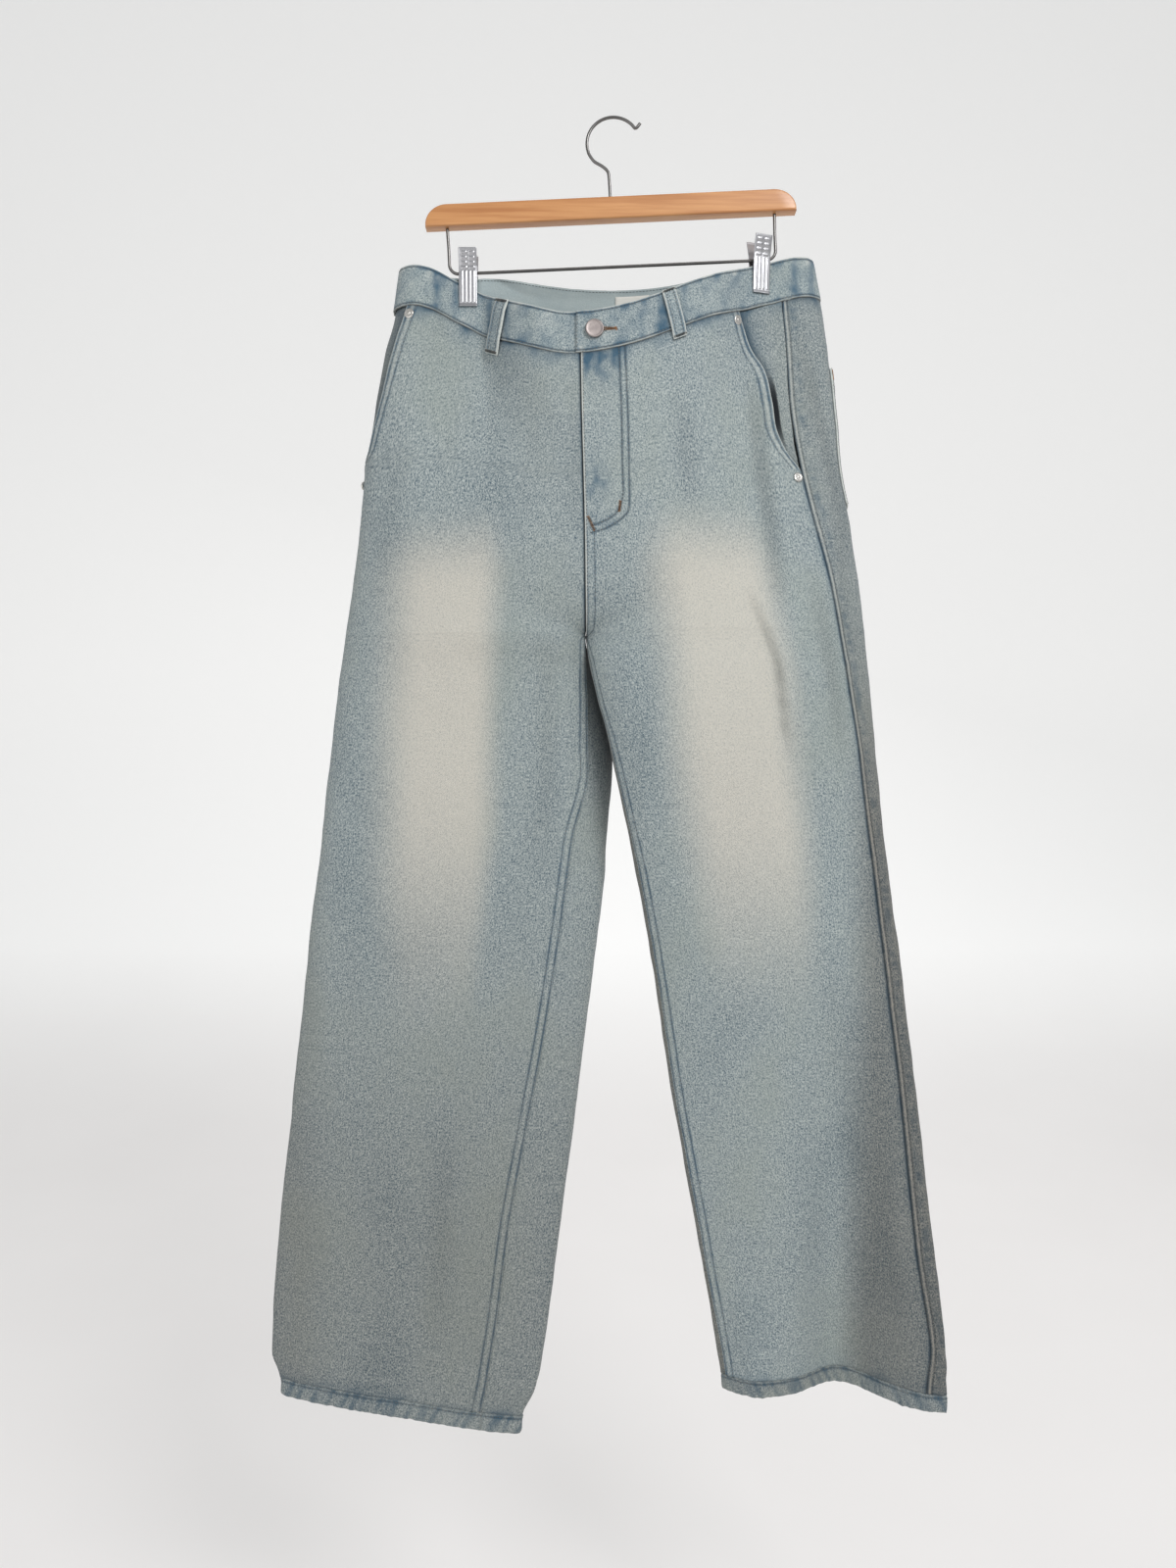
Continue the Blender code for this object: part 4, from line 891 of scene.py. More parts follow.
@dataclass(frozen=True)
class Denim:
    """Washed denim: heathered twill, faded, dyed deep at seams, worn pale at edges, painted with shade.
    """

    name: str = "washed_denim"
    light: Triple = (194, 202, 199)
    dark: Triple = (78, 98, 110)
    greenish: Triple = (136, 146, 139)
    faded: Triple = (203, 200, 190)
    # Deep blue of unfaded dye; beside the belt loops and at the facings' edges it is painted shade.
    deep: Triple = (62, 93, 114)
    edge: Triple = (206, 209, 203)
    back: Triple = (170, 182, 183)
    # Near-black painted shade for seams' undersides, slits, creases and between the legs.
    painted_shade: Triple = (22, 27, 32)
    # Blended over for a duller wash, which is partly painted shade towards the hems and sides.
    washed: Triple = (196, 186, 180)
    twill_pitch: float = 0.0013

    def build(self) -> Material:
        """Return the material."""
        tree = ShaderTree(self.name)
        cloth = tree.cloth_map()
        place = tree.place()
        grain = tree.noise(cloth, (820.0, 520.0, 1.0), 3.0, 0.75)
        slub = tree.noise(cloth, (420.0, 110.0, 1.0), 3.0, 0.65)
        cloud = tree.noise(place, (11.0, 11.0, 6.0), 3.0, 0.55)
        patch = tree.noise(place, (46.0, 46.0, 34.0), 3.0, 0.6)
        heather = (grain - 0.5) * 3.2 + (slub - 0.5) * 0.8
        base = tree.mix(heather + (cloud - 0.5) * 0.5 + 0.5, self.dark, self.light)
        base = tree.mix(cloud.step(0.42, 0.72) * 0.4, base, self.greenish)
        fade = tree.painted("fade") * (heather * 0.45 + 0.86)
        base = tree.mix(fade, base, self.faded)
        # Deep dye at seams, partly painted shade beside the belt loops and at the facings' edges.
        dye = tree.painted("dye") * (patch.step(0.34, 0.62) * 0.75 + 0.4) * (heather * 0.5 + 0.95)
        base = tree.mix(dye * 0.9, base, self.deep)
        worn = tree.painted("worn") * (tree.noise(cloth, (170.0, 170.0, 1.0)) * 0.9 + 0.45)
        base = tree.mix(worn.step(0.1, 1.0) * 0.85, base, self.edge)
        # Duller wash, partly painted shade towards the hems and the outer sides.
        base = tree.mix(tree.painted("wash"), base, self.washed, "MULTIPLY")
        base = tree.mix(tree.painted("inside") * 0.75, base, self.back)
        # Painted shade, near black.
        base = tree.mix(tree.painted("shade"), base, self.painted_shade)
        slanted = tree.node("ShaderNodeVectorMath", {"operation": "MULTIPLY"},
                            {0: cloth, 1: (1.0, 0.5, 0.0)})
        pace = math.tau / (10.0 * self.twill_pitch)
        twill = tree.node("ShaderNodeTexWave", {"bands_direction": "DIAGONAL"},
                          {"Vector": slanted, "Scale": pace, "Distortion": 1.4,
                           "Detail": 1.0, "Detail Scale": 0.6}, "Fac")
        normal = tree.bump(twill * 0.6 + grain * 0.8, 0.0005, 0.6)
        rough = tree.noise(place, (60.0, 60.0, 60.0)) * 0.08 + 0.86
        tree.finish(Sheen_Weight=0.12, Sheen_Roughness=0.5, Specular_IOR_Level=0.22)
        return tree.finish(Base_Color=base, Roughness=rough, Normal=normal)


@dataclass(frozen=True)
class Thread:
    """Sewing thread, twisted and a little uneven in colour."""

    name: str
    colour: Triple
    pale: Triple

    def build(self) -> Material:
        """Return the material."""
        tree = ShaderTree(self.name)
        place = tree.place()
        run = tree.noise(place, (130.0, 130.0, 130.0), 2.0)
        base = tree.mix(run.step(0.35, 0.7), self.colour, self.pale)
        fibre = tree.noise(place, (2600.0, 2600.0, 2600.0), 1.0)
        return tree.finish(Base_Color=base, Roughness=fibre * 0.2 + 0.65,
                           Normal=tree.bump(fibre, 0.0002, 0.5))


@dataclass(frozen=True)
class Chrome:
    """Plated steel with faint smears."""

    name: str
    colour: Triple
    dull: float

    def build(self) -> Material:
        """Return the material."""
        tree = ShaderTree(self.name)
        smear = tree.noise(tree.place(), (90.0, 90.0, 240.0), 3.0)
        tint = tree.mix(smear * 0.4, self.colour, (112, 112, 116))
        return tree.finish(Base_Color=tint, Metallic=1.0, Roughness=smear * 0.12 + self.dull,
                           Normal=tree.bump(smear, 0.0001, 0.2))


@dataclass(frozen=True)
class Pewter:
    """Matt greyish metal, blotched by washing."""

    name: str
    colour: Triple
    blotch: Triple
    dull: float

    def build(self) -> Material:
        """Return the material."""
        tree = ShaderTree(self.name)
        place = tree.place()
        speck = tree.noise(place, (900.0, 900.0, 900.0), 3.0)
        blotch = tree.noise(place, (160.0, 160.0, 160.0), 2.0)
        tint = tree.mix(blotch.step(0.35, 0.7) * 0.6, self.colour, self.blotch)
        return tree.finish(Base_Color=tint, Metallic=0.85, Roughness=speck * 0.16 + self.dull,
                           Normal=tree.bump(speck, 0.00015, 0.35))


@dataclass(frozen=True)
class Wood:
    """Honey coloured wood under satin lacquer, its grain along the bar."""

    name: str = "lacquered_wood"
    light: Triple = (204, 148, 94)
    dark: Triple = (168, 108, 58)

    def build(self) -> Material:
        """Return the material."""
        tree = ShaderTree(self.name)
        place = tree.place()
        ring = tree.noise(place, (7.0, 90.0, 150.0), 3.0, 0.6)
        pore = tree.noise(place, (60.0, 900.0, 1400.0), 2.0, 0.6)
        tone = (ring.step(0.3, 0.7) * 0.75 + pore * 0.3)
        base = tree.mix(tone, self.dark, self.light)
        base = tree.mix(pore.step(0.66, 0.8) * 0.35, base, (150, 98, 54))
        tree.finish(Coat_Roughness=0.18)
        return tree.finish(Base_Color=base, Roughness=pore * 0.15 + 0.38, Coat_Weight=0.45,
                           Normal=tree.bump(pore, 0.0001, 0.4))


@dataclass(frozen=True)
class Tape:
    """Plain white woven tape, painted greyer with the shade it lies in."""

    name: str = "woven_tape"

    def build(self) -> Material:
        """Return the material."""
        tree = ShaderTree(self.name)
        rib = tree.noise(tree.cloth_map(), (120.0, 1400.0, 1.0), 1.0)
        # Greyed whites: painted shade inside the waistband.
        base = tree.mix(rib, (196, 196, 190), (218, 217, 211))
        return tree.finish(Base_Color=base, Roughness=rib * 0.1 + 0.8,
                           Normal=tree.bump(rib, 0.0002, 0.5))


def add_piece(name: str, mesh: bpy.types.Mesh, material: Material, slot: str,
              replaced: Sequence[str] = ()) -> bpy.types.Object:
    """Put a finished mesh in the scene as one piece of the object.

    Args:
        name: The piece's name.
        mesh: Its mesh, in place.
        material: Its finish.
        slot: The record's slot of that finish; it is not used.
        replaced: The nodes that it stands for.

    Returns:
        The piece.
    """
    if not mesh.materials:
        mesh.materials.append(material)
    piece = bpy.data.objects.new(name, mesh)
    bpy.context.scene.collection.objects.link(piece)
    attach(piece, BODY)
    if replaced:
        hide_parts(*replaced)
    LOG.info("%s: %d faces", name, len(mesh.polygons))
    return piece


class PathTree(Tree):
    """A Geometry Nodes tree that starts with paths and ends with dressed, smooth faces."""

    def __init__(self, name: str, inputs: Sequence[str]) -> None:
        """Make a tree with a geometry and named numbers as its inputs."""
        super().__init__(bpy.data.node_groups.new(name, "GeometryNodeTree"))
        face = self.tree.interface
        face.new_socket("Geometry", in_out="INPUT", socket_type="NodeSocketGeometry")
        self.sockets = {
            label: face.new_socket(label, in_out="INPUT", socket_type="NodeSocketFloat")
            for label in inputs
        }
        face.new_socket("Geometry", in_out="OUTPUT", socket_type="NodeSocketGeometry")
        self.given = self.tree.nodes.new("NodeGroupInput").outputs
        self.curve = self.add("GeometryNodeMeshToCurve", None, {"Mesh": self.given[0]})

    def close(self, last: bpy.types.Node, material: Material) -> "PathTree":
        """Make what comes out of the last node real, smooth and dressed."""
        for kind, values in (("GeometryNodeRealizeInstances", {}),
                             ("GeometryNodeSetShadeSmooth", {}),
                             ("GeometryNodeSetMaterial", {"Material": material}),
                             ("NodeGroupOutput", {})):
            last = self.add(kind, None, {"Geometry": last, **values})
        return self

    def apply(self, name: str, paths: Sequence[Array], values: dict[str, float]) -> bpy.types.Mesh:
        """Run the tree on paths.

        Args:
            name: The mesh's name.
            paths: Points in millimetres, one row each.
            values: The inputs by name.

        Returns:
            The tree's result as a plain mesh.
        """
        points: list[Any] = []
        edges: list[tuple[int, int]] = []
        for path in paths:
            first = len(points)
            points.extend((np.asarray(path) * MM).tolist())
            edges.extend((first + index, first + index + 1) for index in range(len(path) - 1))
        mesh = bpy.data.meshes.new(name)
        mesh.from_pydata(points, edges, [])
        holder = bpy.data.objects.new("holder", mesh)
        bpy.context.scene.collection.objects.link(holder)
        modifier = holder.modifiers.new("tree", "NODES")
        modifier.node_group = self.tree
        for label, value in values.items():
            modifier[self.sockets[label].identifier] = value
        bpy.context.view_layer.update()
        depsgraph = bpy.context.evaluated_depsgraph_get()
        made = bpy.data.meshes.new_from_object(holder.evaluated_get(depsgraph))
        holder.modifiers.clear()
        bpy.data.objects.remove(holder, do_unlink=True)
        return made


def stitch_tree(material: Material) -> PathTree:
    """Build the tree that lays stitches end to end along paths.

    Args:
        material: The thread.

    Returns:
        The tree, with the inputs Pitch, Length and Width in metres.
    """
    tree = PathTree("stitches_on_paths", ("Pitch", "Length", "Width"))
    paced = tree.add("GeometryNodeResampleCurve", {"mode": "LENGTH"},
                     {"Curve": tree.curve, "Length": tree.given["Pitch"]})
    turned = tree.add("FunctionNodeAlignRotationToVector", {"axis": "Z"},
                      {"Vector": tree.add("GeometryNodeInputTangent")})
    bead = tree.add("GeometryNodeMeshUVSphere", None, {"Segments": 6, "Rings": 4, "Radius": 0.5})
    size = tree.add("ShaderNodeCombineXYZ", None,
                    {"X": tree.given["Width"], "Y": tree.given["Width"],
                     "Z": tree.given["Length"]})
    laid = tree.add("GeometryNodeInstanceOnPoints", None,
                    {"Points": paced, "Instance": bead, "Rotation": turned, "Scale": size})
    return tree.close(laid, material)


def wire_tree(material: Material, name: str) -> PathTree:
    """Build the tree that runs a round wire along paths.

    Args:
        material: The wire's or the thread's finish.
        name: The tree's name.

    Returns:
        The tree, with the inputs Radius in metres and Sides.
    """
    tree = PathTree(name, ("Radius", "Sides"))
    whole = tree.add("FunctionNodeFloatToInt", {"rounding_mode": "ROUND"}, {0: tree.given["Sides"]})
    ring = tree.add("GeometryNodeCurvePrimitiveCircle", None,
                    {"Resolution": whole, "Radius": tree.given["Radius"]})
    tube = tree.add("GeometryNodeCurveToMesh", None,
                    {"Curve": tree.curve, "Profile Curve": ring, "Fill Caps": True})
    return tree.close(tube, material)


@dataclass(frozen=True)
class Wire:
    """A round wire or thread along paths."""

    name: str
    material: Material
    radius: float
    sides: float
    slot: str = "steel"

    def add(self, paths: Sequence[Array], *replaced: str) -> None:
        """Put the wire in the scene as one piece, in the place of some solids."""
        mesh = wire_tree(self.material, self.name).apply(
            self.name + "_paths", paths, {"Radius": self.radius * MM, "Sides": self.sides})
        add_piece(self.name, mesh, self.material, self.slot, replaced)


def built_by(finish: Any) -> Any:
    """Return a field whose value is the material that a finish builds."""
    return field(default_factory=finish.build)


@dataclass
class Finishes:
    """Every finish of the object, made once."""

    denim: Material = built_by(Denim())
    thread: Material = built_by(Thread("grey_thread", (74, 78, 80), (112, 110, 104)))
    brown: Material = built_by(Thread("brown_thread", (146, 98, 58), (172, 128, 88)))
    chrome: Material = built_by(Chrome("bright_plating", (196, 196, 199), 0.27))
    wire: Material = built_by(Chrome("drawn_wire", (112, 110, 107), 0.24))
    pewter: Material = built_by(Pewter("rubbed_pewter", (160, 151, 148), (130, 122, 121), 0.36))
    rivet: Material = built_by(Pewter("bright_rivet", (214, 212, 207), (176, 172, 166), 0.2))
    wood: Material = built_by(Wood())
    tape: Material = built_by(Tape())


def arc(middle: Pair, radii: Pair, start: float, end: float, steps: int) -> list[Pair]:
    """Return points along an arc.

    Args:
        middle: The arc's middle.
        radii: Its radii along both axes.
        start: The angle of its first point, in degrees.
        end: The angle of its last point.
        steps: How many steps there are between them.

    Returns:
        The points, with both ends.
    """
    angles = np.radians(np.linspace(start, end, steps + 1)).tolist()
    return [(middle[0] + radii[0] * math.cos(angle), middle[1] + radii[1] * math.sin(angle))
            for angle in angles]


def groove(distance: Array, at: float, depth: float = 0.35, width: float = 0.9) -> Array:
    """Return the furrow that a row of stitches draws into the cloth."""
    return -depth * bell(distance - at, width)


def welt(distance: Array, reach: float, height: float) -> Array:
    """Return the raised band where cloth lies double beside a seam."""
    return height * (1.0 - ease((distance - reach) / 2.4))


def stitched(distance: Array, rows: Pair) -> Array:
    """Return the dark lines that rows of stitches keep in the cloth."""
    return sum(bell(distance - at, 1.0) for at in rows)


def seam(distance: Array, reach: float, height: float, rows: Pair) -> Array:
    """Return the relief of a seam: its welt, and the furrows of its rows of stitches."""
    return welt(distance, reach, height) + groove(distance, rows[0]) + groove(distance, rows[1])


SEAM_ROWS = (1.4, 8.4)
POCKET_ROWS = (2.8, 9.2)


FLY_ROWS = (
    ((3.8, -234.0), (6.2, -300.0), (7.0, -350.0), (7.4, -376.0), (2.2, -391.0), (-8.0, -398.5),
     (-21.0, -403.5)),
    ((9.4, -234.0), (12.0, -300.0), (13.1, -350.0), (13.1, -386.0), (9.5, -394.0), (3.2, -399.5),
     (-8.0, -406.0), (-21.5, -410.0)),
)


def fly_lines(x: Array, z: Array) -> Array:
    """Return 1 on the fly's two curved rows of stitches, and 0 away from them."""
    lines = np.zeros(x.shape)
    for row in FLY_ROWS:
        lines = np.maximum(lines, bell(reach_of(x, z, smooth_path(row, 1.0))[0], 1.1))
    return lines


@dataclass
class Panel:
    """A front or a back panel of the jeans, cut and shaped, with its seams' relief."""

    side: Side
    wall: Wall
    thickness: float = 1.2
    near: tuple[float, ...] = (0.0, 0.7, 1.4, 2.1, 2.8, 3.6, 4.6, 6.0, 7.4, 8.4, 9.2, 10.2,
                               11.6, 13.6, 16.5)
    column_step: float = 4.6
    fly_step: float = 3.4
    fly_near: tuple[float, ...] = (19.5, 23.0, 26.5, 29.5, 31.0, 31.9, 32.8, 33.7, 34.6, 35.5, 36.4,
                                   37.3, 38.2, 39.1, 40.0, 40.9, 41.8, 42.7, 43.6, 44.5, 46.0)
    hollow: Triple = (-120.0, -305.0, 3.8)
    gape: float = 3.5
    gape_level: float = -284.0
    gape_reach: float = 42.0
    fly_end: float = -405.0
    fly_width: float = 40.0

    @property
    def name(self) -> str:
        """Return the node's name."""
        return self.wall.value + "_" + self.side.value

    @property
    def sign(self) -> float:
        """Return the sign that turns the grid's cross product outwards."""
        return -self.side.sign

    @property
    def has_fly(self) -> bool:
        """Return whether this is the panel whose edge laps over at the fly."""
        return self.wall is Wall.FRONT and self.side is Side.RIGHT

    def levels(self) -> list[float]:
        """List the rows' levels, close together at the waist, the fly, the crotch and the hem."""
        top, bottom = FORM.panel_top, FORM.panel_bottom(self.side)
        hip, thigh = FORM.crotch + 44.0, FORM.crotch - 30.0
        middle = [(top - 20.0, 4.2)]
        if self.has_fly:
            middle += [(-360.0, 1.1), (-416.0, 4.2)]
        stations = [(top, 2.0), *middle, (hip, 2.4), (thigh, 4.6), (bottom + 16.0, 2.0)]
        ends = [level for level, _ in stations[1:]] + [bottom]
        found = [spaced(level, end, step) for (level, step), end in zip(stations, ends)]
        return [level for part in found for level in part] + [bottom]

    def grid(self) -> tuple[Array, Array, Array, Array]:
        """Lay out the panel's points.

        Returns:
            The points, each point's distance from the first and from the last edge, and v.
        """
        near = np.array(self.near)
        begin = np.concatenate([near, self.fly_near]) if self.has_fly else near
        levels = self.levels()
        longest = 0.0
        runs = []
        for level in levels:
            start, end = FORM.edges(self.side, self.wall, level)
            v = np.linspace(start, end, 260)
            x, y = FORM.section(self.side, level, v)
            along = run_along(x, y)
            runs.append((level, v, along))
            longest = max(longest, along[-1])
        step = self.fly_step if self.has_fly else self.column_step
        middle = int((longest - begin[-1] - near[-1]) / step)
        shares = np.linspace(0.0, 1.0, middle + 2)[1:-1]
        points, first, last, kept = [], [], [], []
        gap = FORM.seam_gap / 2.0
        for level, v, along in runs:
            whole = along[-1] - 2.0 * gap
            squeeze = min(1.0, 0.8 * whole / (begin[-1] + near[-1]))
            opening, closing = begin * squeeze, near * squeeze
            inner = opening[-1] + (whole - opening[-1] - closing[-1]) * shares
            places = np.concatenate([opening, inner, whole - closing[::-1]])
            kept.append(np.interp(places + gap, along, v))
            points.append(FORM.points(self.side, level, kept[-1]))
            first.append(places)
            last.append(whole - places)
        return np.array(points), np.array(first), np.array(last), np.array(kept)

    def creases(self, x: Array, z: Array) -> Array:
        """Return the height of the small creases over the panel."""
        total = np.zeros(x.shape)
        for crease in CREASES[self.side, self.wall]:
            reach, part = reach_of(x, z, smooth_path(crease.path, 5.0))
            strength = np.sin(math.pi * np.clip(part, 0.02, 0.98)) ** 0.7
            total = total + crease.height * strength * bell(reach, crease.width)
        return total

    def relief(self, points: Array, first: Array, last: Array) -> Array:
        """Return how far the cloth stands out from the garment's form."""
        x, z = points[..., 0], points[..., 2]
        levels = np.array(self.levels())[:, None]
        below_band = FORM.panel_top - levels
        seed = 3 + 2 * (self.side is Side.RIGHT) + (self.wall is Wall.BACK)
        total = 0.5 * waves(x, z * 0.35, 46.0, seed) + 0.22 * waves(x, z * 0.6, 17.0, seed + 20)
        total = total * ease(below_band / 20.0) + self.creases(x, z)
        pucker = waves(x, z * 0.2, 9.0, seed + 40)
        total = total + 0.42 * pucker * decay(below_band, 7.0)
        bottom = levels[-1, 0]
        total = total + 0.4 * waves(x, z * 0.3, 10.0, seed + 50) * decay(levels - bottom, 6.0)
        along_seam = waves(z * 0.25, z, 11.0, seed + 60)
        below_crotch = levels < FORM.crotch
        if self.wall is Wall.FRONT:
            inseam = seam(first, 9.0, 0.5, SEAM_ROWS)
            inseam = inseam + 0.28 * along_seam * bell(first - 5.0, 4.5)
            total = total + np.where(below_crotch, inseam, 0.0)
            pocket = seam(last, 10.5, 0.5, POCKET_ROWS)
            pocket = pocket + 0.25 * along_seam * bell(last - 6.0, 4.5)
            total = total + np.where(levels > FORM.pocket_end, pocket, welt(last, 3.0, 0.2))
            total = total + self.fly(points, first, levels)
            if self.side is Side.RIGHT:
                opened = bell(levels - self.gape_level, self.gape_reach)
                part = first / (first + last)
                total = total + self.gape * opened * ease((part - 0.72) / 0.28)
        else:
            total = total + welt(first, 3.0, 0.25) + 0.2 * along_seam * decay(first, 4.0)
            centre = seam(last, 9.0, 0.4, SEAM_ROWS)
            if self.side is Side.RIGHT:
                total = total + np.where(below_crotch, 0.0, centre)
        return total

    def fly(self, points: Array, first: Array, levels: Array) -> Array:
        """Return the relief at the fly, whose right edge laps over, and below the left clip."""
        above = ease((points[..., 2] - self.fly_end) / 10.0)
        upper = np.where(levels >= FORM.crotch, 1.0, 0.0)
        if self.side is Side.LEFT:
            x, z, depth = self.hollow
            away = np.hypot((points[..., 0] - x) / 30.0, (points[..., 2] - z) / 46.0)
            return depth * bell(away, 1.0) - 0.5 * decay(first, 3.0) * upper
        lap = 1.1 * bell(first, 4.0) + welt(first, self.fly_width, 0.45)
        lap = lap - 0.35 * fly_lines(points[..., 0], points[..., 2])
        plain = seam(first, 9.0, 0.5, SEAM_ROWS)
        return (lap * above + plain * (1.0 - above)) * upper

    def paint(self, points: Array, first: Array, last: Array) -> dict[str, Array]:
        """Return where the cloth is worn pale, dyed deep, faded, dulled and painted with shade."""
        x, z = points[..., 0], points[..., 2]
        levels = np.array(self.levels())[:, None]
        below_band = FORM.panel_top - levels
        above_hem = levels - levels[-1, 0]
        legs = np.where(levels < FORM.crotch, 1.0, 0.0)
        mottle = 0.45 + 0.75 * ease(0.4 + 0.8 * waves(x, z, 26.0, 84))
        dye = 0.95 * mottle * decay(below_band, 8.0) + 0.6 * mottle * decay(above_hem, 6.0)
        worn = 0.2 * decay(np.abs(above_hem - 2.0), 2.5)
        if self.wall is Wall.FRONT:
            inseam = stitched(first, SEAM_ROWS)
            below_fly = (1.0 - legs) * (z < self.fly_end) * (self.side is Side.RIGHT)
            dye = dye + (legs + below_fly) * inseam + 0.5 * decay(last, 3.0)
            dye = dye + np.where(levels > FORM.pocket_end, stitched(last, POCKET_ROWS), 0.0)
            if self.side is Side.RIGHT:
                dye = dye + (self.fly_dye(first, x, z) + 0.95 * fly_lines(x, z)) * (1.0 - legs)
                dye = dye + 0.5 * bell(last, 1.4) * (levels < FORM.pocket_end)
                worn = worn + 0.95 * bell(first, 1.5) * (1.0 - legs)
            else:
                dye = dye + 0.8 * bell(first, 2.0) * (1.0 - legs)
            pocket = np.where(levels > FORM.pocket_end, 1.0, 0.3)
            worn = worn + pocket * (0.8 * bell(last, 1.2) + 0.5 * bell(last - 6.0, 2.2))
            worn = worn + 0.28 * legs * bell(first - 4.9, 2.0)
        else:
            dye = dye + (1.0 - legs) * stitched(last, SEAM_ROWS) + 0.9 * decay(first, 1.2)
            blue = ease(waves(x * 0.5, z, 9.0, 85) * 1.1 + 0.4)
            dye = dye + 0.5 * blue * bell(first - 9.5, 4.5)
            worn = worn + 0.75 * bell(first - 2.6, 1.1)
            worn = worn + 0.4 * bell(last - 5.0, 2.0) * (1.0 - legs)
        # The dull wash is partly painted shade.
        return {"worn": worn, "dye": dye, "wash": self.washed(x, z), "fade": self.faded(x, z),
                "shade": self.shaded(x, z, first, last, levels)}

    def shaded(self, x: Array, z: Array, first: Array, last: Array, levels: Array) -> Array:
        """Return the painted shade of seams' undersides, slits, creases and the place between the legs.
        """
        above = (levels >= FORM.crotch) * 1.0
        pocket = (levels > FORM.pocket_end) * 1.0
        furrows = np.clip(-self.creases(x, z), 0.0, None)
        # Painted shade under the waistband's edge and in the creases' furrows.
        shade = 0.55 * decay(FORM.panel_top - levels, 1.6) + 0.07 * furrows
        if self.wall is Wall.FRONT and self.side is Side.LEFT:
            # Painted shade beside the fly's lapped edge.
            shade = shade + 0.9 * above * bell(first, 1.3)
        elif self.wall is Wall.FRONT:
            shade = shade + 0.3 * fly_lines(x, z) * above
            shade = shade + 0.6 * (1.0 - pocket) * bell(last, 1.0)
        elif self.side is Side.LEFT:
            # Painted shadow of the right leg on the left leg's inner side.
            rows = LEG_ROWS[Side.RIGHT]
            edge = np.interp(-z, [-row.level for row in rows], [row.inner_x for row in rows])
            low = ease((-490.0 - z) / 20.0) * ease((z + 760.0) / 150.0)
            shade = shade + 0.96 * low * decay(np.abs(x - edge), 17.0)
        else:
            shade = shade + 0.7 * bell(first, 0.9)
            shade = shade + 0.5 * bell(first - 4.7, 0.8)
        return shade

    @staticmethod
    def fly_dye(first: Array, x: Array, z: Array) -> Array:
        """Return the deep blue left on the fly's thick layers, in mottled bands."""
        across = ease((42.0 - first) / 14.0) * ease((first + 1.0) / 5.0)
        mottle = 0.25 + 0.75 * ease(0.5 + 0.9 * waves(x * 1.8, z, 15.0, 83))
        along = 0.8 * bell(z + 252.0, 20.0)
        along = along + 0.7 * bell(z + 362.0, 17.0) * ease((28.0 - first) / 14.0)
        along = along + 0.35 * bell(z + 398.0, 9.0)
        return across * along * mottle

    def washed(self, x: Array, z: Array) -> Array:
        """Return how dull the wash is, partly painted shade: more so towards the hems and outer edges.
        """
        down = ease((-640.0 - z) / 480.0)
        if self.side is Side.LEFT:
            return 0.12 + 0.48 * down + 0.15 * ease((-260.0 - x) / 50.0)
        # Painted shade on the right leg's outer strip, turned from the light, and on the back wall.
        outer = ease((x - 208.0) / 40.0) if self.wall is Wall.FRONT else 1.0
        strip = 0.3 if self.wall is Wall.BACK else 0.0
        return 0.06 + strip + 0.04 * down + 0.7 * outer * ease((-430.0 - z) / 300.0)

    def faded(self, x: Array, z: Array) -> Array:
        """Return the pale thigh fade: a soft, rounded and slightly slanted patch."""
        fade = FADES[self.side]
        edge = waves(x, z * 0.6, 110.0, 77 + (self.side is Side.RIGHT)) * 2.5
        centre = fade.x + (z - FADE_LEVEL) * fade.slant
        off = (x - centre) * self.side.sign
        outer = (off - fade.outer[0]) / fade.outer[1]
        inner = (-off - fade.inner[0]) / fade.inner[1]
        strength = 1.0 if self.wall is Wall.FRONT else 0.5
        across = np.maximum(np.maximum(outer, inner) + edge / 50.0, 0.0)
        ends = np.maximum((z + edge - fade.top) / fade.rise, (fade.low - z + edge) / fade.fall)
        return strength * (1.0 - ease(np.hypot(across, np.maximum(ends, 0.0))))

    def build(self) -> tuple[Cloth, "Skin"]:
        """Shape the panel.

        Returns:
            The cloth, and its outer face for what is sewn on.
        """
        points, first, last, places = self.grid()
        normals = grid_normals(points, self.sign)
        outer = points + normals * self.relief(points, first, last)[..., None]
        cloth = Cloth(self.name, outer, outer - normals * self.thickness, self.sign,
                      paint=self.paint(points, first, last))
        return cloth, Skin(outer, self.sign, self.levels(), places)


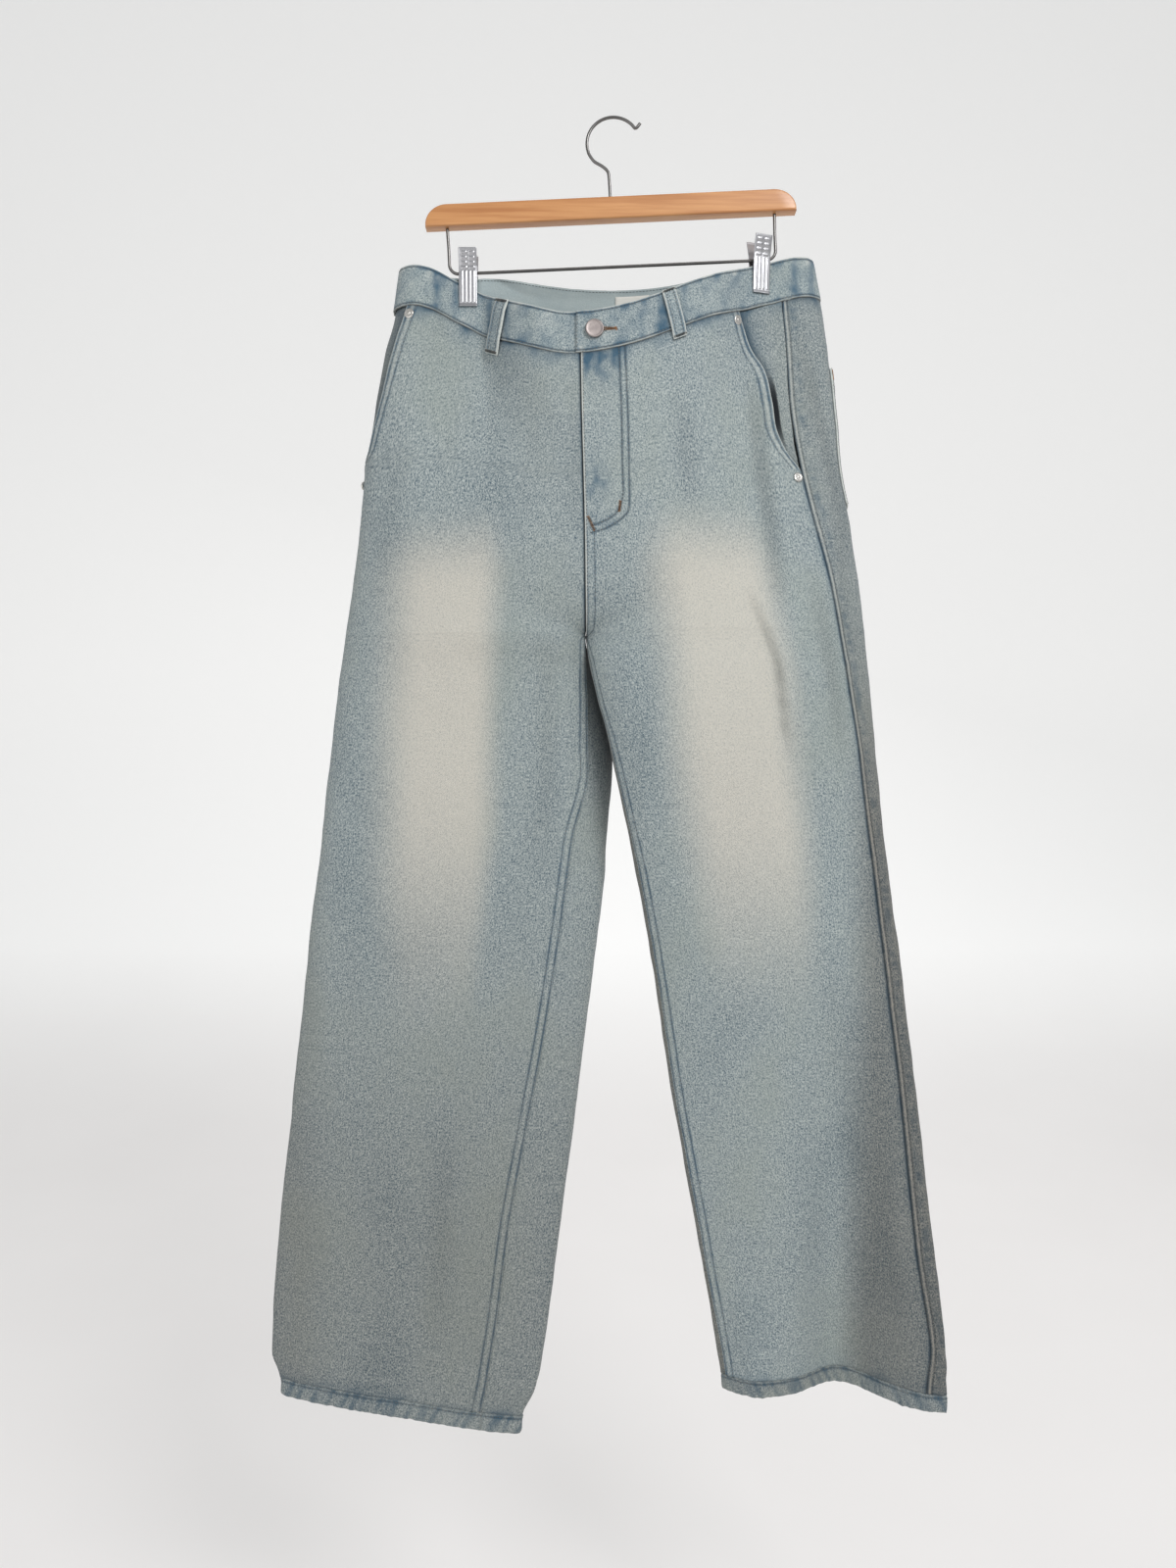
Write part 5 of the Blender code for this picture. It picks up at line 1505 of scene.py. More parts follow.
class Skin:
    """A shaped piece's outer face, on which other things are sewn or laid."""

    def __init__(self, outer: Array, sign: float, levels: Optional[Sequence[float]] = None,
                 places: Optional[Array] = None) -> None:
        """Keep a grid of points, its outward normals and the places it was read at.

        Args:
            outer: The points.
            sign: Turns the grid's cross product outwards.
            levels: The level of each row.
            places: v at each point.
        """
        self.outer = outer
        self.normals = grid_normals(outer, sign)
        self.levels = None if levels is None else np.array(levels)
        self.places = places
        self._tree: Optional[BVHTree] = None

    def at(self, row: float, column: float, lift: float = 0.0) -> Array:
        """Return the point between the grid's points, lifted off the face."""
        r = int(np.clip(math.floor(row), 0, self.outer.shape[0] - 2))
        c = int(np.clip(math.floor(column), 0, self.outer.shape[1] - 2))
        down, along = row - r, column - c
        shares = np.array([(1 - down) * (1 - along), (1 - down) * along,
                           down * (1 - along), down * along])
        corners, normals = (grid[r:r + 2, c:c + 2].reshape(4, 3) for grid in (self.outer, self.normals))
        normal = shares @ normals
        return shares @ corners + normal / np.linalg.norm(normal) * lift

    def on(self, level: float, v: float, lift: float = 0.0) -> Array:
        """Return the point at a level and a v, lifted off the face."""
        row = float(np.interp(-level, -self.levels, np.arange(len(self.levels))))
        low = int(min(math.floor(row), len(self.levels) - 2))
        count = np.arange(self.places.shape[1])
        part = row - low
        places = self.places[low] * (1.0 - part) + self.places[low + 1] * part
        return self.at(row, float(np.interp(v, places, count)), lift)

    def project(self, x: float, z: float, wall: Wall, lift: float = 0.0) -> Optional[Array]:
        """Find the point that is seen at x and z from straight before its wall.

        Args:
            x: The place across.
            z: The height.
            wall: The wall that is looked at.
            lift: How far the point is lifted off the face.

        Returns:
            The point, or None where the skin has none.
        """
        if self._tree is None:
            rows, columns = self.outer.shape[:2]
            index = np.arange(rows * columns).reshape(rows, columns)
            quads = np.stack([index[:-1, :-1], index[:-1, 1:], index[1:, 1:], index[1:, :-1]],
                             axis=-1).reshape(-1, 4)
            points = self.outer.reshape(-1, 3).tolist()
            self._tree = BVHTree.FromPolygons(points, quads.tolist())
        way = 1.0 if wall is Wall.FRONT else -1.0
        place, normal, _, _ = self._tree.ray_cast(Vector((x, -500.0 * way, z)), Vector((0.0, way, 0.0)))
        if place is None:
            return None
        if normal.y * way > 0.0:
            normal = -normal
        return np.array(place + normal * lift)


@dataclass
class Sewing:
    """Every row of stitches, bartack and buttonhole, gathered while pieces are built."""

    pitch: float = 3.3
    length: float = 2.6
    width: float = 0.62
    lift: float = 0.12
    tack_radius: float = 0.34
    rows: dict[Wall, list[Array]] = field(default_factory=lambda: {Wall.FRONT: [], Wall.BACK: []})
    tacks: list[Array] = field(default_factory=list)
    pale_tacks: list[Array] = field(default_factory=list)

    def column(self, skin: Skin, column: float, rows: range, wall: Wall) -> None:
        """Sew along one column of a skin."""
        self.rows[wall].append(np.array([skin.at(row, column, self.lift) for row in rows]))

    def line(self, path: Sequence[Sequence[float]], skin: Skin, wall: Wall) -> None:
        """Sew along a path of x and z on a skin."""
        found = [skin.project(x, z, wall, self.lift) for x, z in smooth_path(path, 2.5)]
        kept = [point for point in found if point is not None]
        if len(kept) > 2:
            self.rows[wall].append(np.array(kept))

    def tack(self, start: Array, end: Array, out: Array, half: float,
             brown: bool = True, pitch: float = 0.7) -> None:
        """Sew a bartack: close zigzags from one point to another.

        Args:
            start: Where it starts, in millimetres.
            end: Where it ends.
            out: The direction off the cloth.
            half: Half its width.
            brown: Whether its thread is the brown one.
            pitch: The distance from one zigzag to the next.
        """
        run = end - start
        side = np.cross(out, run / np.linalg.norm(run))
        side = side / np.linalg.norm(side)
        count = max(4, int(np.linalg.norm(run) / pitch))
        path = []
        for index in range(2 * count + 1):
            base = start + run * index / (2.0 * count) + out * 0.3
            path.append(base + side * half * (1.0 if index % 2 else -1.0))
        (self.tacks if brown else self.pale_tacks).append(np.array(path))

    def build(self, finishes: Finishes) -> None:
        """Turn what was gathered into pieces."""
        values = {"Pitch": self.pitch * MM, "Length": self.length * MM, "Width": self.width * MM}
        for wall, paths in self.rows.items():
            mesh = stitch_tree(finishes.thread).apply("stitch_paths", paths, values)
            add_piece("stitches_" + wall.value, mesh, finishes.thread, "denim")
        for name, paths, thread in (("bartacks_brown", self.tacks, finishes.brown),
                                    ("bartacks_grey", self.pale_tacks, finishes.thread)):
            Wire(name, thread, self.tack_radius, 5.0, "denim").add(paths)


@dataclass(frozen=True)
class Cut:
    """How a piece of cloth was cut and what holds it."""

    width: float
    length: float
    rests_on: tuple[str, ...] = ("waistband",)
    area: Optional[float] = None
    held: str = "hung"


CUTS = {
    "front_left": Cut(0.31, 1.07, area=0.255),
    "front_right": Cut(0.31, 1.05, area=0.235),
    "back_left": Cut(0.34, 1.08, area=0.30),
    "back_right": Cut(0.34, 1.06, area=0.29),
    "waistband": Cut(0.91, 0.042, ("clip_left_front", "clip_right_front")),
    "pocket_facing_left": Cut(0.055, 0.19),
    "pocket_facing_right": Cut(0.055, 0.19),
    "back_pocket_left": Cut(0.13, 0.145, ("back_left",), held="laid"),
    "back_pocket_right": Cut(0.13, 0.145, ("back_right",), held="laid"),
    "hem_left": Cut(0.50, 0.016, ("front_left", "back_left")),
    "hem_right": Cut(0.50, 0.016, ("front_right", "back_right")),
    "label": Cut(0.033, 0.026),
}
LOOP_CUT = Cut(0.012, 0.062)


def declare(cloth: Cloth) -> None:
    """Look up a sheet of cloth's cut and what it hangs from, and log the cloth's area.

    Args:
        cloth: The cloth that it was made from.
    """
    cut = CUTS.get(cloth.name, LOOP_CUT)
    LOG.info("%s: cloth of %.4f square metres", cloth.name, cloth.area())
    list(cut.rests_on)


@dataclass
class Facing:
    """The hip piece that shows in the cut away corner of a front pocket."""

    side: Side
    thickness: float = 1.1
    tucked: float = 24.0
    under: float = 2.3
    flush: float = 14.0
    below_end: float = 26.0
    slit_level: float = -281.0
    slit_reach: float = 36.0

    def build(self) -> Cloth:
        """Shape the facing, which lies under the front panel and rises to the side seam."""
        rows = spaced(FORM.panel_top, FORM.pocket_end - self.below_end, 4.5)
        outer, inner, dye, shade = [], [], [], []
        panel = Panel(self.side, Wall.FRONT)
        for level in rows:
            start, edge = FORM.edges(self.side, Wall.FRONT, level)
            seam = FORM.side_place(self.side, level)
            v = np.linspace(start, edge, 240)
            x, y = FORM.section(self.side, level, v)
            back = np.concatenate([np.cumsum(np.hypot(np.diff(x), np.diff(y))[::-1])[::-1], [0.0]])
            hidden = np.interp(-np.linspace(self.tucked, 0.5, 6), -back, v)
            reach = max(seam - edge, 0.012)
            shares = np.linspace(0.0, 1.0, 30) ** 1.5
            ends = FORM.section(self.side, level, np.array([edge, seam]))[0]
            rise = float(ease((abs(ends[1] - ends[0]) - self.flush) / 10.0))
            rise = rise if seam > edge + 0.001 else 0.0
            places = np.concatenate([hidden, edge + (reach - 0.0015) * shares])
            tuck = self.under + 1.6 * ease(np.linspace(1.2, 0.0, 6))
            depth = np.concatenate([tuck, self.under * (1.0 - rise * ease(shares))])
            points, normal = FORM.face(self.side, level, places)
            bump = 0.3 * waves(points[:, 0], points[:, 2], 26.0, 91)
            bump = bump + np.minimum(panel.creases(points[:, 0], points[:, 2]), 0.0)
            face = points + normal * (bump - depth)[:, None]
            outer.append(face)
            inner.append(face - normal * self.thickness)
            # Deep dye at the pocket's edge and under the band; at the edge it is partly painted shade.
            dye.append(1.1 * decay(np.concatenate([np.zeros(6), shares * 30.0]), 5.0)
                       + 0.7 * math.exp(-(FORM.panel_top - level) / 9.0))
            # Painted shade: a dark slit under the right panel's lifted edge, and a soft shade along the
            # edge.
            painted_shade = math.exp(-(((level - self.slit_level) / self.slit_reach) ** 4))
            painted_shade = painted_shade if self.side is Side.RIGHT else 0.0
            run = np.concatenate([np.zeros(6), shares * max(abs(ends[1] - ends[0]), 1.0)])
            dark = painted_shade * (1.0 - ease((run - 4.0 - 3.8 * painted_shade) / 1.3))
            shade.append(np.maximum(dark, 0.4 * bell(run, 5.0)))
        return Cloth("pocket_facing_" + self.side.value, np.array(outer), np.array(inner),
                     -self.side.sign,
                     paint={"dye": np.array(dye), "wash": np.array(0.3), "shade": np.array(shade)})


@dataclass
class BackPocket:
    """A patch pocket on a back panel, with a shallow pointed bottom."""

    side: Side
    skin: Skin
    top: float = -244.0
    bottom: float = -370.0
    point: float = 19.0
    first: float = 3.0 / 13.0
    last: float = 10.0 / 13.0
    thickness: float = 1.3
    lift: float = 0.35
    turned: float = 22.0

    def build(self, sewing: Sewing) -> Cloth:
        """Lay the pocket on its panel and sew it on."""
        columns = np.linspace(0.0, 1.0, 40)
        rows = np.linspace(0.0, 1.0, 44)
        outer = np.zeros((len(rows), len(columns), 3))
        inner = np.zeros_like(outer)
        for c, across in enumerate(columns):
            low = self.bottom - self.point * (1.0 - abs(2.0 * across - 1.0))
            for r, down in enumerate(rows):
                level = self.top + (low - self.top) * down
                start, end = FORM.edges(self.side, Wall.BACK, level)
                v = start + (end - start) * (self.first + (self.last - self.first) * across)
                outer[r, c] = self.skin.on(level, v, self.lift + self.thickness)
                inner[r, c] = self.skin.on(level, v, self.lift)
        edge = np.minimum(columns, 1.0 - columns)[None, :] * 120.0
        foot = (1.0 - rows)[:, None] * 140.0
        head = rows[:, None] * 140.0
        near = np.minimum(np.minimum(edge, foot), head + np.zeros_like(edge))
        raised = welt(head, self.turned, 0.4) + welt(np.minimum(edge, foot), 8.0, 0.35)
        normals = grid_normals(outer, -self.side.sign)
        outer = outer + normals * raised[..., None]
        worn = 0.9 * bell(near, 1.4) + 0.35 * bell(head - 22.0, 2.5)
        dye = 0.4 * decay(np.abs(np.minimum(edge, foot) - 10.0), 4.0) + np.zeros_like(worn)
        fade = 0.35 * np.sin(math.pi * columns)[None, :] * np.sin(math.pi * rows)[:, None]
        skin = Skin(outer, -self.side.sign)
        self._sew(skin, sewing)
        return Cloth("back_pocket_" + self.side.value, outer, inner, -self.side.sign,
                     paint={"worn": worn, "dye": dye, "fade": fade})

    def _sew(self, skin: Skin, sewing: Sewing) -> None:
        """Sew two rows round the pocket and two across its mouth."""
        foot, edge = skin.outer.shape[0] - 1, skin.outer.shape[1] - 1
        paths = []
        for inset in (0.7, 2.8):
            paths.append([(row, inset) for row in range(foot)]
                         + [(foot - inset, column) for column in np.linspace(inset, edge - inset, 50)]
                         + [(row, edge - inset) for row in range(foot - 1, -1, -1)])
        paths += [[(row, column) for column in range(edge + 1)] for row in (5.4, 6.6)]
        for path in paths:
            sewing.rows[Wall.BACK].append(np.array([skin.at(*spot, sewing.lift) for spot in path]))
        for column in (1, edge - 1):
            sewing.tack(skin.at(0.3, column), skin.at(3.4, column), skin.normals[1, column], 1.3)


@dataclass
class Waistband:
    """The waistband: one strip whose outer end laps over its inner end at the fly."""

    wall: float = 2.4
    proud: float = 0.8
    under: float = -2.9
    overlap: float = 4.5
    underlap: float = 44.0
    sink_start: float = 45.0
    sink_reach: float = 38.0
    stitch_inset: float = 2.4
    stitch_rows: tuple[int, int] = (4, 18)
    offsets: tuple[float, ...] = (0.0, 0.5, 1.2, 1.9, 2.4, 2.9, 3.7, 5.5, 9.0, 13.0, 17.0, 20.3,
                                  24.0, 28.0, 32.0, 35.5, 37.0, 37.7, 38.2, 38.7, 39.4, 40.0, 40.5)
    ring: list[tuple[Side, Array, int]] = field(default_factory=list)

    def __post_init__(self) -> None:
        """Share out the strip's columns, about 3.5 mm apart all round."""
        middle = FORM.waist - FORM.band_height / 2.0
        v = np.linspace(0.0, 2.0, 900)
        halves = {}
        for side in Side:
            x, y = FORM.section(side, middle, v)
            along = run_along(x, y)
            count = int(along[-1] / 3.4)
            halves[side] = np.interp(np.linspace(0.4, along[-1] - 0.4, count), along, v)
        front_x = curve_through(HIP_ROWS, "front_x", middle)
        start = FORM.place_of_x(Side.LEFT, middle, front_x - self.overlap, Wall.FRONT)
        end = FORM.place_of_x(Side.RIGHT, middle, front_x + self.underlap, Wall.FRONT)
        self.ring = [
            (Side.LEFT, np.linspace(start, 0.002, 4), 0),
            (Side.RIGHT, halves[Side.RIGHT], 1),
            (Side.LEFT, halves[Side.LEFT][::-1], 2),
            (Side.RIGHT, np.linspace(0.02, end, 14), 3),
        ]

    def row(self, level: float) -> tuple[Array, Array]:
        """Return the strip's base points and outward directions at a level."""
        front_x = curve_through(HIP_ROWS, "front_x", level)
        points, normals = [], []
        for side, v, part in self.ring:
            base, normal = FORM.face(side, level, v)
            sink = np.zeros(len(v))
            if part == 2:
                reach = (base[:, 0] - (front_x - self.sink_start)) / self.sink_reach
                sink = self.under * ease(reach) * (v < 1.0)
            if part == 3:
                sink = np.full(len(v), self.under)
            points.append(base + normal * sink[:, None])
            normals.append(normal)
        return np.concatenate(points), np.concatenate(normals)

    def build(self, sewing: Sewing) -> Cloth:
        """Shape the strip and sew along its edges."""
        drops = np.array(self.offsets)
        base, outward = [], []
        for drop in drops:
            points, normals = self.row(FORM.waist - drop)
            base.append(points)
            outward.append(normals)
        base, outward = np.array(base), np.array(outward)
        edge = np.minimum(drops, FORM.band_height - drops)[:, None]
        run = np.linalg.norm(np.diff(base[11], axis=0), axis=-1)
        along = np.concatenate([[0.0], np.cumsum(run)])[None, :]
        drop = drops[:, None]
        loose = np.ones(base.shape[:2])
        for clip_x, _ in FORM.clips():
            loose = loose * (1.0 - bell(base[..., 0] - clip_x, 16.0, 4))
        relief = groove(drop, self.stitch_inset, 0.4) + groove(drop, 40.5 - self.stitch_inset, 0.4)
        puckers = waves(along, drop * 0.4, 8.5, 7) * decay(edge, 5.0)
        relief = relief + loose * (0.4 * puckers + 0.35 * waves(along, drop * 0.5, 34.0, 8))
        tuck = 0.75 * bell(edge, 0.55, 1.4)
        outer = base + outward * (self.proud + relief - tuck)[..., None]
        inside = 0.25 * waves(along, drop, 15.0, 9) * loose * decay(edge, 9.0)
        inner = base + outward * (self.proud - self.wall + tuck + inside)[..., None]
        mottle = ease(waves(along, drop, 22.0, 10) * 1.1 + 0.3)
        ridge = ease(puckers * 0.8 + 0.2)
        worn = 0.95 * bell(edge, 1.1) + 0.6 * ridge * bell(edge - 4.8, 2.2)
        worn = worn + 0.35 * ease(waves(along, drop, 30.0, 12) * 1.1 - 0.1)
        dye = 0.12 + 0.5 * mottle * decay(np.abs(edge - 2.8), 5.0) + 0.2 * mottle
        dye = dye + 0.9 * bell(edge - self.stitch_inset, 0.85)
        # Painted shadow beside each belt loop, on the band's front.
        for place in LOOP_PLACES:
            beside = np.abs(np.abs(base[..., 0] - place.x) - 8.5)
            dye = dye + 0.75 * bell(beside, 3.0) * (outward[..., 1] < 0.0)
        # Painted shade under the band's lower edge and along its rows of stitches.
        shade = 0.7 * decay(FORM.band_height - drop, 0.7) + np.zeros(dye.shape)
        shade = shade + 0.3 * bell(edge - self.stitch_inset, 0.7)
        skin = Skin(outer, -1.0)
        last = outer.shape[1] - 1
        for row in self.stitch_rows:
            sewing.rows[Wall.FRONT].append(
                np.array([skin.at(row, column, sewing.lift) for column in range(1, last - 13)]))
            sewing.rows[Wall.BACK].append(self._inside_row(inner, outer, row))
        upper, lower = self.stitch_rows
        sewing.rows[Wall.FRONT].append(
            np.array([skin.at(row, 1.0, sewing.lift) for row in range(upper, lower + 1)]))
        return Cloth("waistband", outer, inner, -1.0,
                     paint={"worn": worn, "dye": dye, "shade": shade}, rim=0.25)

    @staticmethod
    def _inside_row(inner: Array, outer: Array, row: int) -> Array:
        """Return the row of stitches that shows on the strip's inside."""
        way = inner[row] - outer[row]
        way = way / np.linalg.norm(way, axis=-1, keepdims=True)
        return (inner[row] + way * 0.12)[1:-1]


@dataclass
class Hem:
    """The turned up edge of a leg, puckered by its seam."""

    side: Side
    height: float = 16.0
    wall: float = 2.4
    proud: float = 0.5
    stitch_up: float = 13.4

    def build(self, sewing: Sewing) -> Cloth:
        """Shape the band round the leg and sew it."""
        bottom = FORM.hem_level(self.side)
        top = bottom + self.height
        start, edge = FORM.edges(self.side, Wall.FRONT, top)
        v = np.linspace(start, start + 2.0, 1200)
        x, y = FORM.section(self.side, top, np.mod(v, 2.0))
        along = run_along(x, y)
        places = np.linspace(0.0, along[-1], int(along[-1] / 2.6))[:-1]
        v = np.mod(np.interp(places, along, v), 2.0)
        rises = np.array([16.0, 15.5, 14.8, 14.0, 13.4, 12.8, 11.6, 9.5, 7.0, 4.6, 2.6, 1.2, 0.4, 0.0])
        base = np.array([FORM.points(self.side, bottom + rise, v) for rise in rises])
        out = np.array([FORM.outward(self.side, bottom + rise, v) for rise in rises])
        up = rises[:, None]
        edge_near = np.minimum(up, self.height - up)
        seed = 31 + (self.side is Side.RIGHT)
        run = places[None, :]
        rope = waves(run + up * 0.45, up * 0.15, 9.5, seed, 9)
        relief = groove(up, self.stitch_up, 0.45) + 0.55 * rope * ease(up / 3.0 + 0.3)
        relief = relief * (1.0 - 0.7 * decay(self.height - up, 2.0))
        tuck = 0.75 * bell(edge_near, 0.6, 1.4)
        outer = base + out * (self.proud + relief - tuck)[..., None]
        inner = base + out * (self.proud - self.wall + 0.6 * relief + tuck)[..., None]
        outer[..., 2] += 0.5 * (rope * decay(up, 6.0))
        inner[..., 2] += 0.5 * (rope * decay(up, 6.0))
        worn = 0.5 * decay(up, 1.4) + 0.3 * ease(rope * 0.8 + 0.1) * bell(up - 6.5, 5.0)
        dye = 0.6 * ease(0.35 - rope * 1.1) + 0.7 * bell(up - 13.4, 1.2)
        skin = Skin(outer, -self.side.sign)
        path = np.array([skin.at(4.0, column, sewing.lift) for column in range(outer.shape[1] - 1)])
        sewing.rows[Wall.FRONT].append(path)
        return Cloth("hem_" + self.side.value, outer, inner, -self.side.sign, closed=True,
                     paint={"worn": worn, "dye": dye, "wash": np.array(0.5)}, rim=0.25)


class LoopPlace(NamedTuple):
    """Where a belt loop is sewn on."""

    name: str
    side: Side
    wall: Wall
    x: float
    drop: float
    lean: float = 0.0


LOOP_PLACES = (
    LoopPlace("front_left", Side.LEFT, Wall.FRONT, -110.0, 16.0, 7.0),
    LoopPlace("front_right", Side.RIGHT, Wall.FRONT, 56.0, 11.0, -8.0),
    LoopPlace("side_left", Side.LEFT, Wall.BACK, -160.0, 12.0),
    LoopPlace("side_right", Side.RIGHT, Wall.BACK, 183.0, 12.0),
    LoopPlace("centre_back", Side.RIGHT, Wall.BACK, 34.0, 12.0),
)


@dataclass
class BeltLoop:
    """A belt loop: a folded strip tacked to the waistband's top and to the panel below."""

    place: LoopPlace
    width: float = 12.0
    wall: float = 1.5

    def build(self, sewing: Sewing) -> Cloth:
        """Shape the loop and tack its ends."""
        low = FORM.waist - FORM.band_height
        across = np.array([-6.0, -5.7, -5.0, -4.1, -3.3, -2.7, -1.4, 0.0, 1.4, 2.7, 3.3, 4.1, 5.0,
                           5.7, 6.0])
        end = low - self.place.drop
        shift = self.place.lean / 2.0
        foot, head = [np.array([FORM.place_of_x(self.place.side, low, self.place.x + step + lean,
                                                self.place.wall) for step in across])
                      for lean in (-shift, shift)]
        levels = np.concatenate([[FORM.waist - 0.1], np.linspace(FORM.waist - 1.0, end + 1.0, 30),
                                 [end]])
        knots = (FORM.waist, FORM.waist - 4.0, FORM.waist - 12.0, low + 6.0, low, end + 6.0, end)
        lifts = (1.4, 1.8, 3.2, 3.2, 3.0, 1.8, 1.2)
        lift = np.interp(-levels, -np.array(knots), lifts)
        fold = 0.35 * ease((np.abs(across) - 3.0) / 1.2) - 0.55 * ease((np.abs(across) - 5.3) / 0.7)
        fold = fold + groove(np.abs(across), 3.0, 0.3, 0.5)
        outer, inner = [], []
        for level, stand in zip(levels, lift):
            v = foot + (head - foot) * (level - end) / (FORM.waist - end)
            points, normal = FORM.face(self.place.side, level, v)
            wobble = 0.12 * math.sin(level * 0.55)
            outer.append(points + normal * (stand + self.wall + fold + wobble)[:, None])
            inner.append(points + normal * stand)
        outer, inner = np.array(outer), np.array(inner)
        sign = -self.place.side.sign
        if foot[0] > foot[-1]:
            outer, inner = outer[:, ::-1], inner[:, ::-1]
        skin = Skin(outer, sign)
        middle = len(across) // 2
        for column in (middle - 3.0, middle + 3.0):
            sewing.column(skin, column, range(2, 30), self.place.wall)
        for row in (1.6, 29.4):
            sewing.tack(skin.at(row, 1.2), skin.at(row, 12.8), skin.normals[int(row), middle], 1.0,
                        brown=self.place.name == "centre_back")
        rows = np.linspace(0.0, 1.0, len(levels))[:, None]
        columns = np.abs(np.arange(len(across)) - middle)[None, :] / middle
        worn = 1.2 * bell(1.0 - columns, 0.3) + 0.6 * bell(rows, 0.05)
        worn = worn + 0.7 * bell(1.0 - rows, 0.06)
        dye = 0.15 + 0.6 * bell(columns - 0.5, 0.14) + 0.0 * rows
        return Cloth("belt_loop_" + self.place.name, outer, inner, sign,
                     paint={"worn": worn, "dye": dye}, rim=0.2)


@dataclass
class Label:
    """The bare label inside the back of the waistband."""

    start: float = 2.5
    end: float = 35.5
    height: float = 26.0
    below_edge: float = 7.0
    wall: float = 0.6
    inward: float = -2.1

    def build(self) -> Cloth:
        """Shape the label."""
        top = FORM.waist - self.below_edge
        outer, inner = [], []
        for level in np.linspace(top, top - self.height, 12):
            seam = curve_through(HIP_ROWS, "back_x", level)
            row, under = [], []
            for x in np.linspace(self.start, self.end, 18):
                side = Side.LEFT if x < seam else Side.RIGHT
                v = np.array([FORM.place_of_x(side, level, x, Wall.BACK)])
                point, normal = (part[0] for part in FORM.face(side, level, v))
                row.append(point + normal * self.inward)
                under.append(point + normal * (self.inward - self.wall))
            outer.append(row)
            inner.append(under)
        return Cloth("label", np.array(outer), np.array(inner), 1.0, rim=0.1)


def turned_mesh(name: str, profile: Sequence[Pair], segments: int,
                place: Array, axis: Sequence[float]) -> bpy.types.Mesh:
    """Turn a profile of radius and rise about an axis.

    Args:
        name: The mesh's name.
        profile: Pairs from the top's centre, radius 0, to the foot's centre, radius 0.
        segments: How many steps the turn has.
        place: Where the axis starts, in millimetres.
        axis: The axis's direction.

    Returns:
        The closed mesh.
    """
    way = Vector(axis).normalized()
    frame_at = way.to_track_quat("Z", "Y").to_matrix()
    points = [Vector((0.0, 0.0, profile[0][1]))]
    for radius, rise in profile[1:-1]:
        for step in range(segments):
            angle = math.tau * step / segments
            points.append(Vector((radius * math.cos(angle), radius * math.sin(angle), rise)))
    points.append(Vector((0.0, 0.0, profile[-1][1])))
    rings = len(profile) - 2
    faces: list[tuple[int, ...]] = []
    for step in range(segments):
        after = (step + 1) % segments
        faces.append((0, 1 + step, 1 + after))
        for ring in range(rings - 1):
            low, high = 1 + ring * segments, 1 + (ring + 1) * segments
            faces.append((low + step, high + step, high + after, low + after))
        foot = 1 + (rings - 1) * segments
        faces.append((len(points) - 1, foot + after, foot + step))
    mesh = bpy.data.meshes.new(name)
    moved = [(frame_at @ point + Vector(place.tolist())) * MM for point in points]
    mesh.from_pydata([tuple(point) for point in moved], [], faces)
    mesh.shade_smooth()
    mesh.set_sharp_from_angle(angle=math.radians(42.0))
    return mesh


@dataclass
class Button:
    """The bare metal button, with a sunk middle and a raised rim."""

    radius: float = 8.6
    rise: float = 3.4
    x: float = -18.5
    below: float = 20.0
    stand: float = 1.6

    def place(self) -> Array:
        """Return where the button's foot is."""
        level = FORM.waist - self.below
        v = np.array([FORM.place_of_x(Side.RIGHT, level, self.x, Wall.FRONT)])
        points, normal = FORM.face(Side.RIGHT, level, v)
        return (points + normal * self.stand)[0]

    def build(self, sewing: Sewing, finishes: Finishes) -> None:
        """Make the button and the buttonhole that shows beside it."""
        r, h = self.radius, self.rise
        profile = ((0.0, h * 0.9), (r * 0.3, h * 0.9), (r * 0.6, h * 0.905), (r * 0.78, h * 0.92),
                   (r * 0.84, h * 0.96), (r * 0.88, h), (r * 0.94, h * 0.96), (r * 0.985, h * 0.82),
                   (r, h * 0.62),
                   (r * 0.97, h * 0.42), (r * 0.88, h * 0.3), (r * 0.5, 0.0), (0.0, 0.0))
        mesh = turned_mesh("button", profile, 64, self.place(), (0.03, -1.0, 0.02))
        add_piece("metal_button", mesh, finishes.pewter, "pewter", ("button",))
        centre = self.place()
        out = np.array([0.03, -1.0, 0.02])
        for shift in (-1.15, 1.15):
            start = centre + np.array([7.0, -0.2, shift + 0.4])
            end = centre + np.array([20.0, 0.9, shift * 0.35 + 0.9])
            sewing.tack(start, end, out, 0.8, pitch=0.62)
        sewing.tack(centre + np.array([19.5, 0.9, 2.4]), centre + np.array([20.5, 0.9, -0.8]), out,
                    0.9, pitch=0.62)


RIVETS = ("left_top", "left_low", "right_top", "right_low")


@dataclass
class Rivet:
    """A small domed rivet at one end of a front pocket."""

    name: str
    radius: float = 4.8
    rise: float = 1.8
    nub: float = 1.3

    def build(self, finishes: Finishes) -> None:
        """Make the rivet where its solid is."""
        node = "rivet_" + self.name
        low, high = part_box(node)
        centre = (np.array(low) + np.array(high)) / 2.0 / MM
        size = (np.array(high) - np.array(low)) / MM
        solid = bpy.data.objects[node]
        points = np.array([vertex.co[:] for vertex in solid.data.vertices]) / MM
        spread = points - points.mean(axis=0)
        axis = np.linalg.svd(spread, full_matrices=False)[2][2]
        axis = -axis if axis[1] > 0.0 else axis
        foot = centre - axis * self.rise / 2.0
        LOG.info("%s: %.1f mm across", node, float(size.max()))
        r, h = self.radius, self.rise
        profile = ((0.0, h), (self.nub * 0.6, h * 0.98), (self.nub, h * 0.84),
                   (self.nub * 1.25, h * 0.62), (r * 0.5, h * 0.6), (r * 0.72, h * 0.72),
                   (r * 0.86, h * 0.68), (r * 0.96, h * 0.42), (r, h * 0.15), (r, 0.0), (0.0, 0.0))
        mesh = turned_mesh(node, profile, 40, foot, axis)
        add_piece("metal_" + node, mesh, finishes.rivet, "pewter", (node,))


